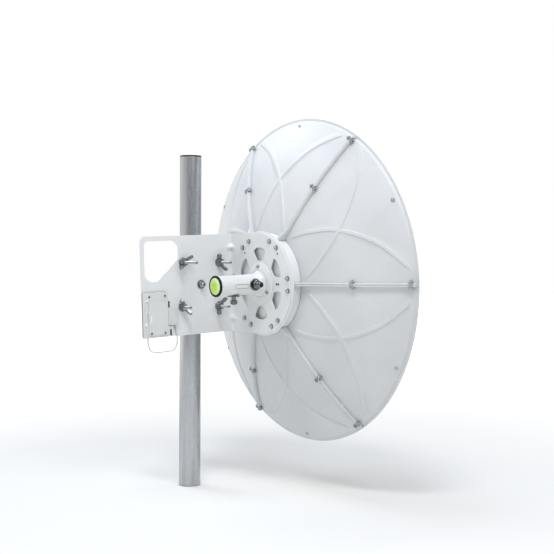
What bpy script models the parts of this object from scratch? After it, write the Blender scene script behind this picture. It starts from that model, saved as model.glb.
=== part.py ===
"""Wireless link dish on a mast: six-petal reflector, side plate bracket, clamp and feed."""
import math

import bmesh
import bpy
from mathutils import Matrix, Vector

# Main sizes in metres. The origin is the centre of the mast's bottom face,
# +Z is up, +Y is where the dish points and +X is the side the dish sits on.
DISH_RADIUS = 0.450
FOCAL_LENGTH = 0.360
DISH_DEPTH = 0.1406
SKIN = 0.0020
CLEARANCE = 0.0003

MAST_RADIUS = 0.030
MAST_WALL = 0.003
MAST_LENGTH = 0.9205
PIVOT_HEIGHT = 0.5633
UPTILT_DEGREES = 2.2

AXIS_X = 0.185          # dish axis, sideways from the mast's axis
RIM_Y = 0.2703          # rim plane, ahead of the mast's axis
BACK_Y = 0.1061         # rear face of the back plate
SHEET = 0.003
SIDE_X = 0.053          # outer face of the side plate
PLATE_REAR = -0.1910
PLATE_HALF = 0.1364
BACK_RADIUS = 0.1364
STUD_HALF_Y = 0.060     # wing-nut studs stand on a square round the mast
STUD_HALF_Z = 0.061
JAW_BOLT_Y = 0.045      # the rear jaws' own bolts, close beside the mast
JAW_HALF_Z = 0.031

# Plan of the pressed ribs: radius, and degrees from the seam at the rib's hub end.
RIB_TABLE = [(0.150, 6.5), (0.160, 8.3), (0.180, 13.0), (0.200, 16.8), (0.220, 20.8), (0.250, 25.3),
             (0.282, 30.0), (0.315, 35.3), (0.345, 40.0), (0.372, 44.0), (0.400, 49.0), (0.420, 52.5),
             (0.440, 55.6)]
RIB_HALF = 0.0055
PETAL_INNER = 0.1290     # petals start here, between the pan and the centre plate
HUB_EDGE = 0.1376        # their seam edges start here, outside the pan
RIB_HEIGHT = 0.0025
SEAM_EDGE = 0.010        # height of the turned seam edges
SEAM_THICK = 0.0045      # thickness of each, folded back on itself
GUSSET_EXTRA = 0.0186    # they stand this much higher at the hub
GUSSET_END = 0.172       # radius where that gusset has tapered off


# Start from an empty scene
for old in list(bpy.data.objects):
    bpy.data.objects.remove(old, do_unlink=True)

tilt = Matrix.Translation((0.0, 0.0, PIVOT_HEIGHT)) @ Matrix.Rotation(math.radians(UPTILT_DEGREES), 4, 'X')
level = Matrix.Identity(4)


def finish(name, mesh, colour, roughness, metallic, frame, smooth=True):
    """Turn a bmesh into a named object with its own material."""
    bmesh.ops.recalc_face_normals(mesh, faces=mesh.faces)
    data = bpy.data.meshes.new(name)
    mesh.to_mesh(data)
    mesh.free()
    data.transform(frame)
    if smooth:
        data.shade_smooth()
        data.set_sharp_from_angle(angle=math.radians(35))
    material = bpy.data.materials.new(name + "_material")
    material.use_nodes = True
    shader = material.node_tree.nodes["Principled BSDF"]
    shader.inputs["Base Color"].default_value = (*colour, 1.0)
    shader.inputs["Roughness"].default_value = roughness
    shader.inputs["Metallic"].default_value = metallic
    data.materials.append(material)
    thing = bpy.data.objects.new(name, data)
    bpy.context.scene.collection.objects.link(thing)
    return thing


def axes(direction):
    """Two unit vectors square to a direction."""
    along = Vector(direction).normalized()
    side = along.cross(Vector((0, 0, 1)))
    if side.length < 0.5:
        side = along.cross(Vector((1, 0, 0)))
    side.normalize()
    return along, side, along.cross(side)


def turned(profile, centre, direction, sides=32):
    """Solid of revolution: a closed profile of (radius, distance along the axis)."""
    along, side, other = axes(direction)
    centre = Vector(centre)
    mesh = bmesh.new()
    rings = []
    for radius, distance in profile:
        middle = centre + along * distance
        if radius < 1e-6:
            rings.append([mesh.verts.new(middle)])
            continue
        ring = []
        for step in range(sides):
            angle = 2 * math.pi * step / sides
            ring.append(mesh.verts.new(middle + (side * math.cos(angle) + other * math.sin(angle)) * radius))
        rings.append(ring)
    count = len(rings)
    for index in range(count):
        first = rings[index]
        second = rings[(index + 1) % count]
        if len(first) == 1 and len(second) == 1:
            continue
        for step in range(sides):
            after = (step + 1) % sides
            if len(first) == 1:
                mesh.faces.new((first[0], second[step], second[after]))
            elif len(second) == 1:
                mesh.faces.new((first[step], second[0], first[after]))
            else:
                mesh.faces.new((first[step], second[step], second[after], first[after]))
    return mesh


def slab(outline, holes, origin, u, v, thickness):
    """Flat sheet: an outline with holes in the plane of u and v, thickened along u x v."""
    origin, u, v = Vector(origin), Vector(u), Vector(v)
    normal = u.cross(v).normalized()
    mesh = bmesh.new()
    edges = []
    loops = []
    for loop in [outline] + holes:
        row = [mesh.verts.new(origin + u * a + v * b) for a, b in loop]
        loops.append(row)
        for index, vert in enumerate(row):
            edges.append(mesh.edges.new((vert, row[(index + 1) % len(row)])))
    filled = bmesh.ops.triangle_fill(mesh, use_beauty=True, use_dissolve=False, edges=edges)
    faces = [item for item in filled["geom"] if isinstance(item, bmesh.types.BMFace)]
    copy = bmesh.ops.duplicate(mesh, geom=list(mesh.verts) + list(mesh.edges) + faces)
    mapping = copy["vert_map"]
    for row in loops:
        for vert in row:
            mapping[vert].co = vert.co + normal * thickness
    for row in loops:
        for index, vert in enumerate(row):
            after = row[(index + 1) % len(row)]
            mesh.faces.new((vert, after, mapping[after], mapping[vert]))
    return mesh


def joined(first, second):
    """Put one bmesh's geometry into another."""
    data = bpy.data.meshes.new("joining")
    second.to_mesh(data)
    second.free()
    first.from_mesh(data)
    bpy.data.meshes.remove(data)
    return first


def circle(radius, u=0.0, v=0.0, sides=24, start=0.0):
    return [(u + radius * math.cos(start + 2 * math.pi * k / sides),
             v + radius * math.sin(start + 2 * math.pi * k / sides)) for k in range(sides)]


def rounded(points, radii, steps=4):
    """Round each corner of a polygon by its own radius."""
    result = []
    count = len(points)
    for index, point in enumerate(points):
        here = Vector(point)
        before = (Vector(points[index - 1]) - here)
        after = (Vector(points[(index + 1) % count]) - here)
        radius = radii[index] if isinstance(radii, (list, tuple)) else radii
        if radius <= 0:
            result.append(tuple(here))
            continue
        one, two = before.normalized(), after.normalized()
        half = one.angle(two) / 2
        reach = radius / math.tan(half)
        centre = here + (one + two).normalized() * (radius / math.sin(half))
        start = here + one * reach - centre
        end = here + two * reach - centre
        sweep = start.angle(end)
        turn = 1 if start.x * end.y - start.y * end.x > 0 else -1
        base = math.atan2(start.y, start.x)
        for step in range(steps + 1):
            angle = base + turn * sweep * step / steps
            result.append((centre.x + radius * math.cos(angle), centre.y + radius * math.sin(angle)))
    return result


def swept(path, width, height, wide):
    """Bar of rectangular section along a path; wide is the direction of its width."""
    mesh = bmesh.new()
    wide = Vector(wide).normalized()
    points = [Vector(p) for p in path]
    sections = []
    for index, point in enumerate(points):
        before = points[max(index - 1, 0)]
        after = points[min(index + 1, len(points) - 1)]
        along = (after - before).normalized()
        thick = along.cross(wide).normalized()
        scale = 1.0
        if 0 < index < len(points) - 1:
            one = (point - before).normalized()
            scale = 1.0 / max(0.5, one.dot(along))
        section = []
        for a, b in ((-1, -1), (1, -1), (1, 1), (-1, 1)):
            section.append(mesh.verts.new(point + wide * (a * width / 2) + thick * (b * height / 2 * scale)))
        sections.append(section)
    for index in range(len(sections) - 1):
        for k in range(4):
            mesh.faces.new((sections[index][k], sections[index][(k + 1) % 4],
                            sections[index + 1][(k + 1) % 4], sections[index + 1][k]))
    mesh.faces.new(sections[0])
    mesh.faces.new(list(reversed(sections[-1])))
    return mesh


def boolean(thing, cutter_mesh, operation='DIFFERENCE'):
    """Cut or join a helper solid into an object and keep the result as plain mesh."""
    data = bpy.data.meshes.new("cutter")
    bmesh.ops.recalc_face_normals(cutter_mesh, faces=cutter_mesh.faces)
    cutter_mesh.to_mesh(data)
    cutter_mesh.free()
    cutter = bpy.data.objects.new("cutter", data)
    bpy.context.scene.collection.objects.link(cutter)
    modifier = thing.modifiers.new("cut", 'BOOLEAN')
    modifier.operation = operation
    modifier.solver = 'EXACT'
    modifier.object = cutter
    view = bpy.context.view_layer
    view.update()
    result = bpy.data.meshes.new_from_object(thing.evaluated_get(view.depsgraph))
    thing.modifiers.remove(modifier)
    old = thing.data
    thing.data = result
    bpy.data.meshes.remove(old)
    bpy.data.objects.remove(cutter, do_unlink=True)


white = (0.80, 0.82, 0.85)
steel = (0.42, 0.43, 0.45)
dark = (0.10, 0.10, 0.11)


# Mast: a tube closed by a plug below and a cap on top
def on_mast(profile):
    """Turned piece on the mast's axis, its profile as (radius, Z)."""
    return turned(profile, (0, 0, 0), (0, 0, 1), 32)


plug_top = 0.012
plug_rim = 0.0002
cap_skirt = 0.014        # how deep the cap reaches into the tube
cap_rim = 0.0037
bore = MAST_RADIUS - MAST_WALL
plug = bore - CLEARANCE
tube_low, tube_high = plug_rim + CLEARANCE, MAST_LENGTH - cap_rim - CLEARANCE
finish("mast_tube", on_mast([(bore, tube_low), (MAST_RADIUS, tube_low), (MAST_RADIUS, tube_high),
                             (bore, tube_high)]), steel, 0.35, 1.0, level)
finish("mast_base_plug", on_mast([(0, 0), (MAST_RADIUS, 0), (MAST_RADIUS, plug_rim), (plug, plug_rim),
                                  (plug, plug_top), (0, plug_top)]), steel, 0.4, 1.0, level)
finish("mast_top_cap", on_mast([(0, MAST_LENGTH - cap_skirt), (plug, MAST_LENGTH - cap_skirt),
                                (plug, MAST_LENGTH - cap_rim), (MAST_RADIUS, MAST_LENGTH - cap_rim),
                                (MAST_RADIUS, MAST_LENGTH - 0.001), (MAST_RADIUS - 0.001, MAST_LENGTH),
                                (0, MAST_LENGTH)]), dark, 0.6, 0.0, level)


# Reflector petals
def surface(radius):
    """Height of the reflector's front skin along Y at a radius from the dish axis."""
    return RIM_Y - DISH_DEPTH + radius * radius / (4 * FOCAL_LENGTH)


def rib_angle(radius):
    table = RIB_TABLE
    if radius <= table[0][0]:
        return table[0][1]
    for (r0, a0), (r1, a1) in zip(table, table[1:]):
        if radius <= r1:
            return a0 + (a1 - a0) * (radius - r0) / (r1 - r0)
    return table[-1][1]


def gusset(radius):
    """How much of a gusset the seam edge is: all of it at the hub, none further out."""
    if radius < HUB_EDGE:
        return 0.0
    return max(0.0, (GUSSET_END - radius) / (GUSSET_END - HUB_EDGE))


def edge_height(radius):
    """Height of the turned seam edge above the skin's rear face."""
    if radius < HUB_EDGE:
        return 0.0001
    return SEAM_EDGE + GUSSET_EXTRA * gusset(radius)


def rim_profile():
    """Front skin from hub to rim: radius, Y, seam edge height, rib strength."""
    rows = []
    for radius in (PETAL_INNER, HUB_EDGE - 0.0010, HUB_EDGE + 0.0002, 0.157, 0.174, 0.196, 0.222, 0.250,
                   0.2755, 0.2885, 0.312, 0.342, 0.374, 0.404, 0.428):
        rib = 1.0 if 0.160 < radius < 0.420 else 0.0
        rows.append((radius, surface(radius), edge_height(radius), rib))
    rows.append((0.4382, surface(0.4382) - 0.0004, SEAM_EDGE, 0.0))
    rows.append((0.4425, RIM_Y - 0.0001, 0.007, 0.0))
    rows.append((DISH_RADIUS, RIM_Y, 0.0001, 0.0))
    return rows


def petal(number):
    """One pressed sheet petal with turned edges and two crossing ribs."""
    rows = rim_profile()
    normals = []
    for index, row in enumerate(rows):
        before = rows[max(index - 1, 0)]
        after = rows[min(index + 1, len(rows) - 1)]
        slope = Vector((after[0] - before[0], after[1] - before[1])).normalized()
        normals.append(Vector((slope.y, -slope.x)))
    normals[-1] = Vector((0.0, -1.0))
    seam = math.radians(60 * number)
    edge = CLEARANCE / 2

    def place(radius, y, lateral, side):
        """Point at a distance from the seam line on one side of the petal."""
        along = math.sqrt(max(radius * radius - lateral * lateral, 0))
        if side == 0:
            angle = seam + math.atan2(lateral, along)
        else:
            angle = seam + math.radians(60) - math.atan2(lateral, along)
        return Vector((AXIS_X + radius * math.cos(angle), y, radius * math.sin(angle)))

    mesh = bmesh.new()
    sections = []
    for index, (radius, y, flange, strength) in enumerate(rows):
        rear = normals[index]
        angle = rib_angle(radius)
        step = 0.002
        lean = math.radians(rib_angle(radius + step) - rib_angle(radius - step)) / (2 * step) * radius
        wide = math.degrees(RIB_HALF * math.sqrt(1 + lean * lean) / radius)
        low = min(angle, 60 - angle)
        past = min(low + wide, 29.7)
        beside = math.degrees((SEAM_THICK + 3 * CLEARANCE) / radius)
        inner = [0.0, max((low - wide) / 2, beside), low - wide, low - wide * 0.45,
                 min(low + wide * 0.45, 29.5), past, (2 * past + 30) / 3, (past + 60) / 3]
        columns = inner + [30.0] + [60 - a for a in reversed(inner)]
        front, back = [], []
        last = len(columns) - 1
        for j, column in enumerate(columns):
            lift = 0.0
            for centre in (low, 60 - low):
                away = abs(column - centre) / wide
                lift = max(lift, min(1.0, max(0.0, (1.0 - away) / 0.5)))
            lift *= strength * RIB_HEIGHT
            for offset, row, inset in ((lift, front, edge), (lift + SKIN, back, edge + SEAM_THICK)):
                r = radius + rear.x * offset
                h = y + rear.y * offset
                if j == 0:
                    row.append(place(r, h, inset, 0))
                elif j == last:
                    row.append(place(r, h, inset, 1))
                else:
                    a = seam + math.radians(column)
                    row.append(Vector((AXIS_X + r * math.cos(a), h, r * math.sin(a))))
        reach = SKIN + flange
        r = radius + rear.x * reach * (1 - gusset(radius))
        h = y + rear.y * reach
        thick = edge + SEAM_THICK
        tips = [place(r, h, edge, 0), place(r, h, thick, 0), place(r, h, thick, 1), place(r, h, edge, 1)]
        front = [mesh.verts.new(p) for p in front]
        back = [mesh.verts.new(p) for p in back]
        tips = [mesh.verts.new(p) for p in tips]
        sections.append((front, back, tips))
    for (f0, b0, t0), (f1, b1, t1) in zip(sections, sections[1:]):
        loop0 = f0 + [t0[3], t0[2]] + list(reversed(b0)) + [t0[1], t0[0]]
        loop1 = f1 + [t1[3], t1[2]] + list(reversed(b1)) + [t1[1], t1[0]]
        for k in range(len(loop0)):
            n = (k + 1) % len(loop0)
            mesh.faces.new((loop0[k], loop0[n], loop1[n], loop1[k]))
    for (f, b, t), flip in ((sections[0], False), (sections[-1], True)):
        quads = [(f[j], f[j + 1], b[j + 1], b[j]) for j in range(len(f) - 1)]
        quads.append((f[0], b[0], t[1], t[0]))
        quads.append((f[-1], t[3], t[2], b[-1]))
        for quad in quads:
            mesh.faces.new(tuple(reversed(quad)) if flip else quad)
    return mesh


for number in range(6):
    finish("petal_%d" % (number + 1), petal(number), white, 0.35, 0.0, tilt)


# Hub: rear pan that carries the petals, and the round centre plate in front
def on_axis(profile, sides=36):
    """Turned piece on the dish axis, its profile as (radius, Y)."""
    return turned(profile, (AXIS_X, 0, 0), (0, 1, 0), sides)


pan_rear = BACK_Y + SHEET + CLEARANCE
pan_sheet = 0.0025
pan_wall = HUB_EDGE - 0.0010
pan_lip = 0.1425         # the pan's rear lip shows past the back plate
floor_rear = 0.1195      # its floor shows through the back plate's windows
pan_hole = 0.0219        # clear of the feed tube
lip_front = pan_rear + pan_sheet
floor_front = floor_rear + pan_sheet
floor_edge = 0.1005      # the floor is a disc of its own inside the pan's wall
ledge = floor_edge + CLEARANCE
finish("pan_floor", on_axis([(pan_hole, floor_rear), (floor_edge, floor_rear), (floor_edge, floor_front),
                             (pan_hole, floor_front)]), white, 0.35, 0.0, tilt)
finish("hub_pan", on_axis([(ledge, floor_rear), (0.1030, floor_rear), (0.1050, pan_rear),
                           (pan_lip, pan_rear), (pan_lip, lip_front),
                           (pan_wall - 0.0003, lip_front), (pan_wall, 0.1370),
                           (pan_wall - 0.0006, 0.1392), (PETAL_INNER, 0.1382), (PETAL_INNER, 0.1358),
                           (pan_wall - pan_sheet, 0.1362), (pan_wall - pan_sheet, lip_front),
                           (0.1064, lip_front), (0.1044, floor_front), (ledge, floor_front)]),
       white, 0.35, 0.0, tilt)
centre_rows = [0.0230, 0.0600, 0.0980, PETAL_INNER, 0.1395]
centre_plate = [(r, surface(r) + CLEARANCE) for r in centre_rows]
centre_plate += [(r, surface(r) + CLEARANCE + pan_sheet) for r in reversed(centre_rows)]
finish("centre_plate", on_axis(centre_plate), white, 0.35, 0.0, tilt)


# Bracket: a long side plate with its bend, and the back plate, round on the right, that carries on from it
def prism(outline, origin, u, v, depth):
    """Solid from an outline in the plane of u and v, pushed along u x v."""
    return slab(outline, [], origin, u, v, depth)


def on_back(outline, start, end):
    """Prism through the back plate: outline as (X, Z), from one Y to another."""
    return prism(outline, (0, end, 0), (1, 0, 0), (0, 0, 1), end - start)


def on_side(outline, start, end):
    """Prism through the side plate: outline as (Y, Z), from one X to another."""
    return prism(outline, (start, 0, 0), (0, 1, 0), (0, 0, 1), end - start)


def turn_back(y, z):
    """Where a level point beside the mast falls in the tilted side plate."""
    a = math.radians(UPTILT_DEGREES)
    return y * math.cos(a) + z * math.sin(a), z * math.cos(a) - y * math.sin(a)


bend_centre = (SIDE_X + 0.0045, BACK_Y - 0.0045)
inner_bend, outer_bend = [], []
for k in range(7):
    a = math.radians(15 * k)
    for radius, row in ((0.0045, inner_bend), (0.0045 + SHEET, outer_bend)):
        row.append((bend_centre[0] - radius * math.cos(a), bend_centre[1] + radius * math.sin(a)))
right = AXIS_X + BACK_RADIUS
meeting = bend_centre[0] + 0.0025    # the back plate starts here, past the bend
section = [(SIDE_X - SHEET, PLATE_REAR)] + outer_bend + [(meeting, BACK_Y + SHEET), (meeting, BACK_Y)]
section += list(reversed(inner_bend)) + [(SIDE_X, PLATE_REAR)]
side_plate = finish("side_plate", prism(section, (0, 0, -PLATE_HALF), (1, 0, 0), (0, 1, 0), 2 * PLATE_HALF),
                    white, 0.35, 0.0, level)
left = meeting + CLEARANCE
square = [(left, -PLATE_HALF), (right, -PLATE_HALF), (right, PLATE_HALF), (left, PLATE_HALF)]
back_plate = finish("back_plate", on_back(square, BACK_Y, BACK_Y + SHEET), white, 0.35, 0.0, level)

beyond = 0.02
outside = [(AXIS_X, PLATE_HALF + beyond), (right + beyond, PLATE_HALF + beyond),
           (right + beyond, -PLATE_HALF - beyond), (AXIS_X, -PLATE_HALF - beyond)]
for k in range(25):
    a = math.radians(-90 + 7.5 * k)
    outside.append((AXIS_X + BACK_RADIUS * math.cos(a), BACK_RADIUS * math.sin(a)))


def cutout(angle):
    """Rounded window between two spokes of the back plate."""
    corners = []
    for radius, half in ((0.064, -11.0), (0.064, 11.0), (0.0955, 19.0), (0.0985, 6.5), (0.0985, -6.5),
                         (0.0955, -19.0)):
        a = math.radians(angle + half)
        corners.append((AXIS_X + radius * math.cos(a), radius * math.sin(a)))
    return rounded(corners, [0.006, 0.006, 0.008, 0.02, 0.02, 0.008], 3)


cuts = on_back(outside, BACK_Y - 0.01, BACK_Y + SHEET + 0.01)
for k in range(6):
    cuts = joined(cuts, on_back(cutout(30 + 60 * k), BACK_Y - 0.01, BACK_Y + SHEET + 0.01))
cuts = joined(cuts, on_back(circle(0.0235, AXIS_X, 0, 32), BACK_Y - 0.01, BACK_Y + SHEET + 0.01))
boolean(back_plate, cuts)
back_plate.data.transform(tilt)

PIVOT_HOLE = 0.0053
side_hole = rounded([(-0.179, 0.1235), (-0.088, 0.1235), (-0.071, 0.108), (-0.071, 0.074), (-0.141, 0.0135),
                     (-0.163, 0.0135), (-0.179, 0.030)], [0.013, 0.013, 0.013, 0.016, 0.012, 0.012, 0.012], 4)
low_x, high_x = SIDE_X - SHEET - 0.01, SIDE_X + 0.01
cuts = on_side(side_hole, low_x, high_x)
for cy in (-STUD_HALF_Y, STUD_HALF_Y):
    for cz in (-STUD_HALF_Z, STUD_HALF_Z):
        cuts = joined(cuts, on_side(circle(0.0048, *turn_back(cy, cz), 12), low_x, high_x))
cuts = joined(cuts, on_side(circle(PIVOT_HOLE, 0, 0, 12), low_x, high_x))


def strap_slot(bottom):
    """Upright slot beside the adapter panel, as (Y, Z)."""
    sides = [(-0.1085, bottom), (-0.1030, bottom), (-0.1030, bottom + 0.018), (-0.1085, bottom + 0.018)]
    return rounded(sides, 0.0026, 3)


for bottom in (-0.058, -0.133):
    cuts = joined(cuts, on_side(strap_slot(bottom), low_x, high_x))
for top, bend in ((1, 0.014), (-1, 0.006)):
    corner = []
    for k in range(6):
        a = math.radians(90 + 18 * k)
        corner.append((PLATE_REAR + bend * (1 + math.cos(a)), top * (PLATE_HALF - bend + bend * math.sin(a))))
    past_rear, past_end = PLATE_REAR - 0.005, PLATE_HALF + 0.005
    corner += [(past_rear, top * (PLATE_HALF - bend)), (past_rear, top * past_end),
               (PLATE_REAR + bend, top * past_end)]
    cuts = joined(cuts, on_side(corner, low_x, high_x))
boolean(side_plate, cuts)
side_plate.data.transform(tilt)


# Clamp: a front block against the side plate, and two rear jaws drawn to it by their own bolts
beside = Matrix.Translation((0.0, 0.0, PIVOT_HEIGHT))
notch = MAST_RADIUS * math.sqrt(2) + CLEARANCE * 1.5
block_x = SIDE_X - SHEET - CLEARANCE
STUD_RADIUS = 0.0040
HOLE_RADIUS = 0.0043
WING_THICK = 0.0042


def v_side(shoulder):
    """One side of the V that holds the mast, from a shoulder beside it to the middle."""
    return [(notch - 0.030, -shoulder), (notch - 0.028, -0.028), (notch, 0.0)]


def both_sides(half, radii, sign):
    """Plan of a V casting from one half of its outline; sign -1 turns it to the far side."""
    other = [(x, -y) for x, y in reversed(half[:-1])]
    outline = [(sign * x, y) for x, y in half + other]
    return rounded(outline, radii + list(reversed(radii[:-1])), 3)


def drill(thing, half_y, rows):
    """Bolt holes along X through a casting, on both sides of the mast."""
    holes = bmesh.new()
    for cy in (-half_y, half_y):
        for cz in rows:
            holes = joined(holes, on_side(circle(HOLE_RADIUS, cy, cz, 12), -0.12, 0.12))
    boolean(thing, holes)


block_half = [(block_x, -0.0665), (block_x - 0.008, -0.0665), (block_x - 0.008, -0.0402)] + v_side(0.0365)
front = finish("front_clamp", prism(both_sides(block_half, [0.0, 0.003, 0.0, 0.0, 0.0, 0.0], 1),
                                    (0, 0, -0.070), (1, 0, 0), (0, 1, 0), 0.140), steel, 0.45, 1.0, level)
drill(front, STUD_HALF_Y, (-STUD_HALF_Z, STUD_HALF_Z))
drill(front, JAW_BOLT_Y, (-JAW_HALF_Z, JAW_HALF_Z))
boolean(front, on_side(circle(PIVOT_HOLE, 0, 0, 12), 0.0460, 0.0660))
front.data.transform(beside)

jaw_half = [(0.0475, -0.0100), (0.0240, -0.0360), (0.0160, -0.0366), (0.0160, -0.0530), (0.0060, -0.0530),
            (0.0060, -0.0362)] + v_side(0.0340)
for name, cz in (("rear_jaw_upper", JAW_HALF_Z), ("rear_jaw_lower", -JAW_HALF_Z)):
    jaw = finish(name, prism(both_sides(jaw_half, [0.006, 0.004, 0.0, 0.003, 0.003, 0.0, 0.0, 0.0, 0.0], -1),
                             (0, 0, cz - 0.014), (1, 0, 0), (0, 1, 0), 0.028), steel, 0.45, 1.0, level)
    drill(jaw, JAW_BOLT_Y, (cz,))
    jaw.data.transform(beside)


# Each corner has a stud with a wing nut and a short jaw bolt: stud end, turn of the wings
CORNERS = [("upper_rear", -1, 1, 0.125, 42), ("upper_front", 1, 1, 0.113, 118),
           ("lower_rear", -1, -1, 0.097, 128), ("lower_front", 1, -1, 0.106, 62)]
for label, side_y, side_z, end_x, spin in CORNERS:
    cy, cz = side_y * STUD_HALF_Y, side_z * STUD_HALF_Z
    profile = [(0, 0.0384), (0.0068, 0.0384), (0.0075, 0.0390), (0.0075, 0.0414), (STUD_RADIUS, 0.0414),
               (STUD_RADIUS, end_x - 0.001), (STUD_RADIUS - 0.001, end_x), (0, end_x)]
    finish("clamp_bolt_" + label, turned(profile, (0, cy, cz), (1, 0, 0), 12), dark, 0.4, 1.0, beside)
    profile = [(0, -0.0225), (0.0068, -0.0225), (0.0075, -0.0218), (0.0075, -0.0163), (STUD_RADIUS, -0.0163),
               (STUD_RADIUS, 0.0465), (0, 0.0465)]
    finish("jaw_bolt_" + label, turned(profile, (0, side_y * JAW_BOLT_Y, side_z * JAW_HALF_Z), (1, 0, 0), 12),
           dark, 0.4, 1.0, beside)
    profile = [(0, 0.0008), (0.0128, 0.0008), (0.0128, 0.0024), (0.0105, 0.0034), (0.0088, 0.0150),
               (0, 0.0150)]
    nut = finish("wing_nut_" + label, turned(profile, (SIDE_X, cy, cz), (1, 0, 0), 12), dark, 0.4, 1.0, level)
    u = Vector((0, math.cos(math.radians(spin)), math.sin(math.radians(spin))))
    across = u.cross(Vector((1, 0, 0)))
    half_wing = [(-0.0275, 0.0190), (-0.0248, 0.0255), (-0.0185, 0.0255), (-0.0088, 0.0132)]
    lower_wing = [(-0.0120, 0.0030), (-0.0245, 0.0105)]
    wing = half_wing + [(-a, b) for a, b in reversed(half_wing)]
    wing += [(-a, b) for a, b in reversed(lower_wing)] + lower_wing
    origin = Vector((SIDE_X, cy, cz)) - across * WING_THICK / 2
    boolean(nut, prism(wing, origin, u, (1, 0, 0), WING_THICK), 'UNION')
    boolean(nut, on_side(circle(HOLE_RADIUS, cy, cz, 12), low_x, SIDE_X + 0.04))
    nut.data.transform(beside)

washer_top, nut_top, stud_end = SIDE_X + 0.0024, SIDE_X + 0.0104, SIDE_X + 0.0190
washer_seat = SIDE_X + CLEARANCE
finish("pivot_bolt", turned([(0, 0.0462), (0.0050, 0.0462), (0.0050, washer_seat), (0.0122, washer_seat),
                             (0.0122, washer_top), (0.0100, washer_top), (0.0100, nut_top), (0.0048, nut_top),
                             (0.0048, stud_end), (0, stud_end)], (0, 0, 0), (1, 0, 0), 12),
       dark, 0.4, 1.0, tilt)


# Feed: round housing behind the dish with its end sight and two sockets
FEED_REAR = -0.0440
HOUSING_RADIUS = 0.0275
ring_front = FEED_REAR + 0.0048
body_rear = ring_front + CLEARANCE
body_front = 0.1003
flare = 0.0360           # the housing widens to this where it meets its flange
disc_radius = 0.0203
rear_chamfer = 0.0013
finish("feed_housing", on_axis([(0, body_rear), (HOUSING_RADIUS - rear_chamfer, body_rear),
                                (HOUSING_RADIUS, body_rear + rear_chamfer), (HOUSING_RADIUS, 0.0850),
                                (0.0288, 0.0900), (0.0315, 0.0942), (flare, 0.0982), (flare, body_front),
                                (0, body_front)]), (0.86, 0.87, 0.86), 0.3, 0.0, tilt)
finish("sight_ring", on_axis([(disc_radius + CLEARANCE, ring_front), (0.0287, ring_front),
                              (0.0287, FEED_REAR + 0.0012), (0.0275, FEED_REAR),
                              (disc_radius + CLEARANCE, FEED_REAR)]), (0.02, 0.025, 0.02), 0.5, 0.0, tilt)
finish("sight_disc", on_axis([(0, ring_front), (disc_radius, ring_front), (disc_radius, FEED_REAR),
                              (0.0170, FEED_REAR - 0.0012), (0, FEED_REAR - 0.0016)]),
       (0.45, 0.90, 0.12), 0.35, 0.0, tilt)
flange_seat = BACK_Y - CLEARANCE
flange_hole = flare + CLEARANCE
finish("feed_flange", on_axis([(flange_hole, 0.0985), (0.0470, 0.1012), (0.0560, 0.1036), (0.0570, 0.1046),
                               (0.0570, flange_seat), (0, flange_seat), (0, body_front + CLEARANCE),
                               (flange_hole, body_front + CLEARANCE)]), white, 0.35, 0.0, tilt)


def socket(name, base, direction, flange, neck, collar, mouth, collar_from, collar_to, end):
    """Threaded coaxial socket: flange, neck and round collar, with its mouth open."""
    thick, deep = 0.0028, 0.009
    profile = [(0, 0), (flange, 0), (flange, thick), (neck, thick), (neck, collar_from), (collar, collar_from),
               (collar, collar_to), (neck, collar_to), (neck, end), (mouth, end), (mouth, end - deep),
               (0, end - deep)]
    finish(name, turned(profile, base, direction, 18), steel, 0.25, 1.0, tilt)


seat = HOUSING_RADIUS + CLEARANCE
socket("side_socket", (AXIS_X + seat, 0.0678, 0), (1, 0, 0),
       0.0165, 0.0080, 0.0128, 0.0052, 0.0065, 0.0145, 0.0292)
socket("lower_socket", (AXIS_X, 0.0163, -seat), (0, 0, -1),
       0.0166, 0.0060, 0.0092, 0.0044, 0.0120, 0.0228, 0.0245)

FEED_TIP = RIM_Y - DISH_DEPTH + FOCAL_LENGTH
TUBE_RADIUS = 0.0215
TUBE_BORE = 0.0190
tube_end = FEED_TIP - 0.0460
tube_rear, bore_floor = BACK_Y + 0.0006, BACK_Y + 0.0100
shoulder_radius = 0.0230
finish("feed_tube", on_axis([(0, tube_rear), (shoulder_radius, tube_rear), (shoulder_radius, BACK_Y + 0.0034),
                             (TUBE_RADIUS, BACK_Y + 0.0040), (TUBE_RADIUS, tube_end), (TUBE_BORE, tube_end),
                             (TUBE_BORE, bore_floor), (0, bore_floor)]), steel, 0.3, 1.0, tilt)
collar_hole = TUBE_RADIUS + CLEARANCE
finish("feed_collar", on_axis([(collar_hole, 0.1338), (0.0400, 0.1352), (0.0400, 0.1385), (0.0260, 0.1450),
                               (collar_hole, 0.1450)]), white, 0.35, 0.0, tilt)
spigot = TUBE_BORE - CLEARANCE
cone_front = FEED_TIP - 0.0120
finish("feed_cone", on_axis([(0, FEED_TIP - 0.066), (0.0080, FEED_TIP - 0.066), (spigot, FEED_TIP - 0.054),
                             (spigot, tube_end + CLEARANCE), (0.0240, tube_end + CLEARANCE),
                             (0.0460, cone_front), (0, cone_front)]), (0.85, 0.84, 0.80), 0.5, 0.0, tilt)
plate_rear = cone_front + CLEARANCE
finish("sub_reflector", on_axis([(0, plate_rear), (0.0530, plate_rear), (0.0540, plate_rear + 0.0010),
                                 (0.0540, FEED_TIP - 0.0040), (0.0520, FEED_TIP), (0, FEED_TIP)]),
       steel, 0.3, 1.0, tilt)


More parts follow.
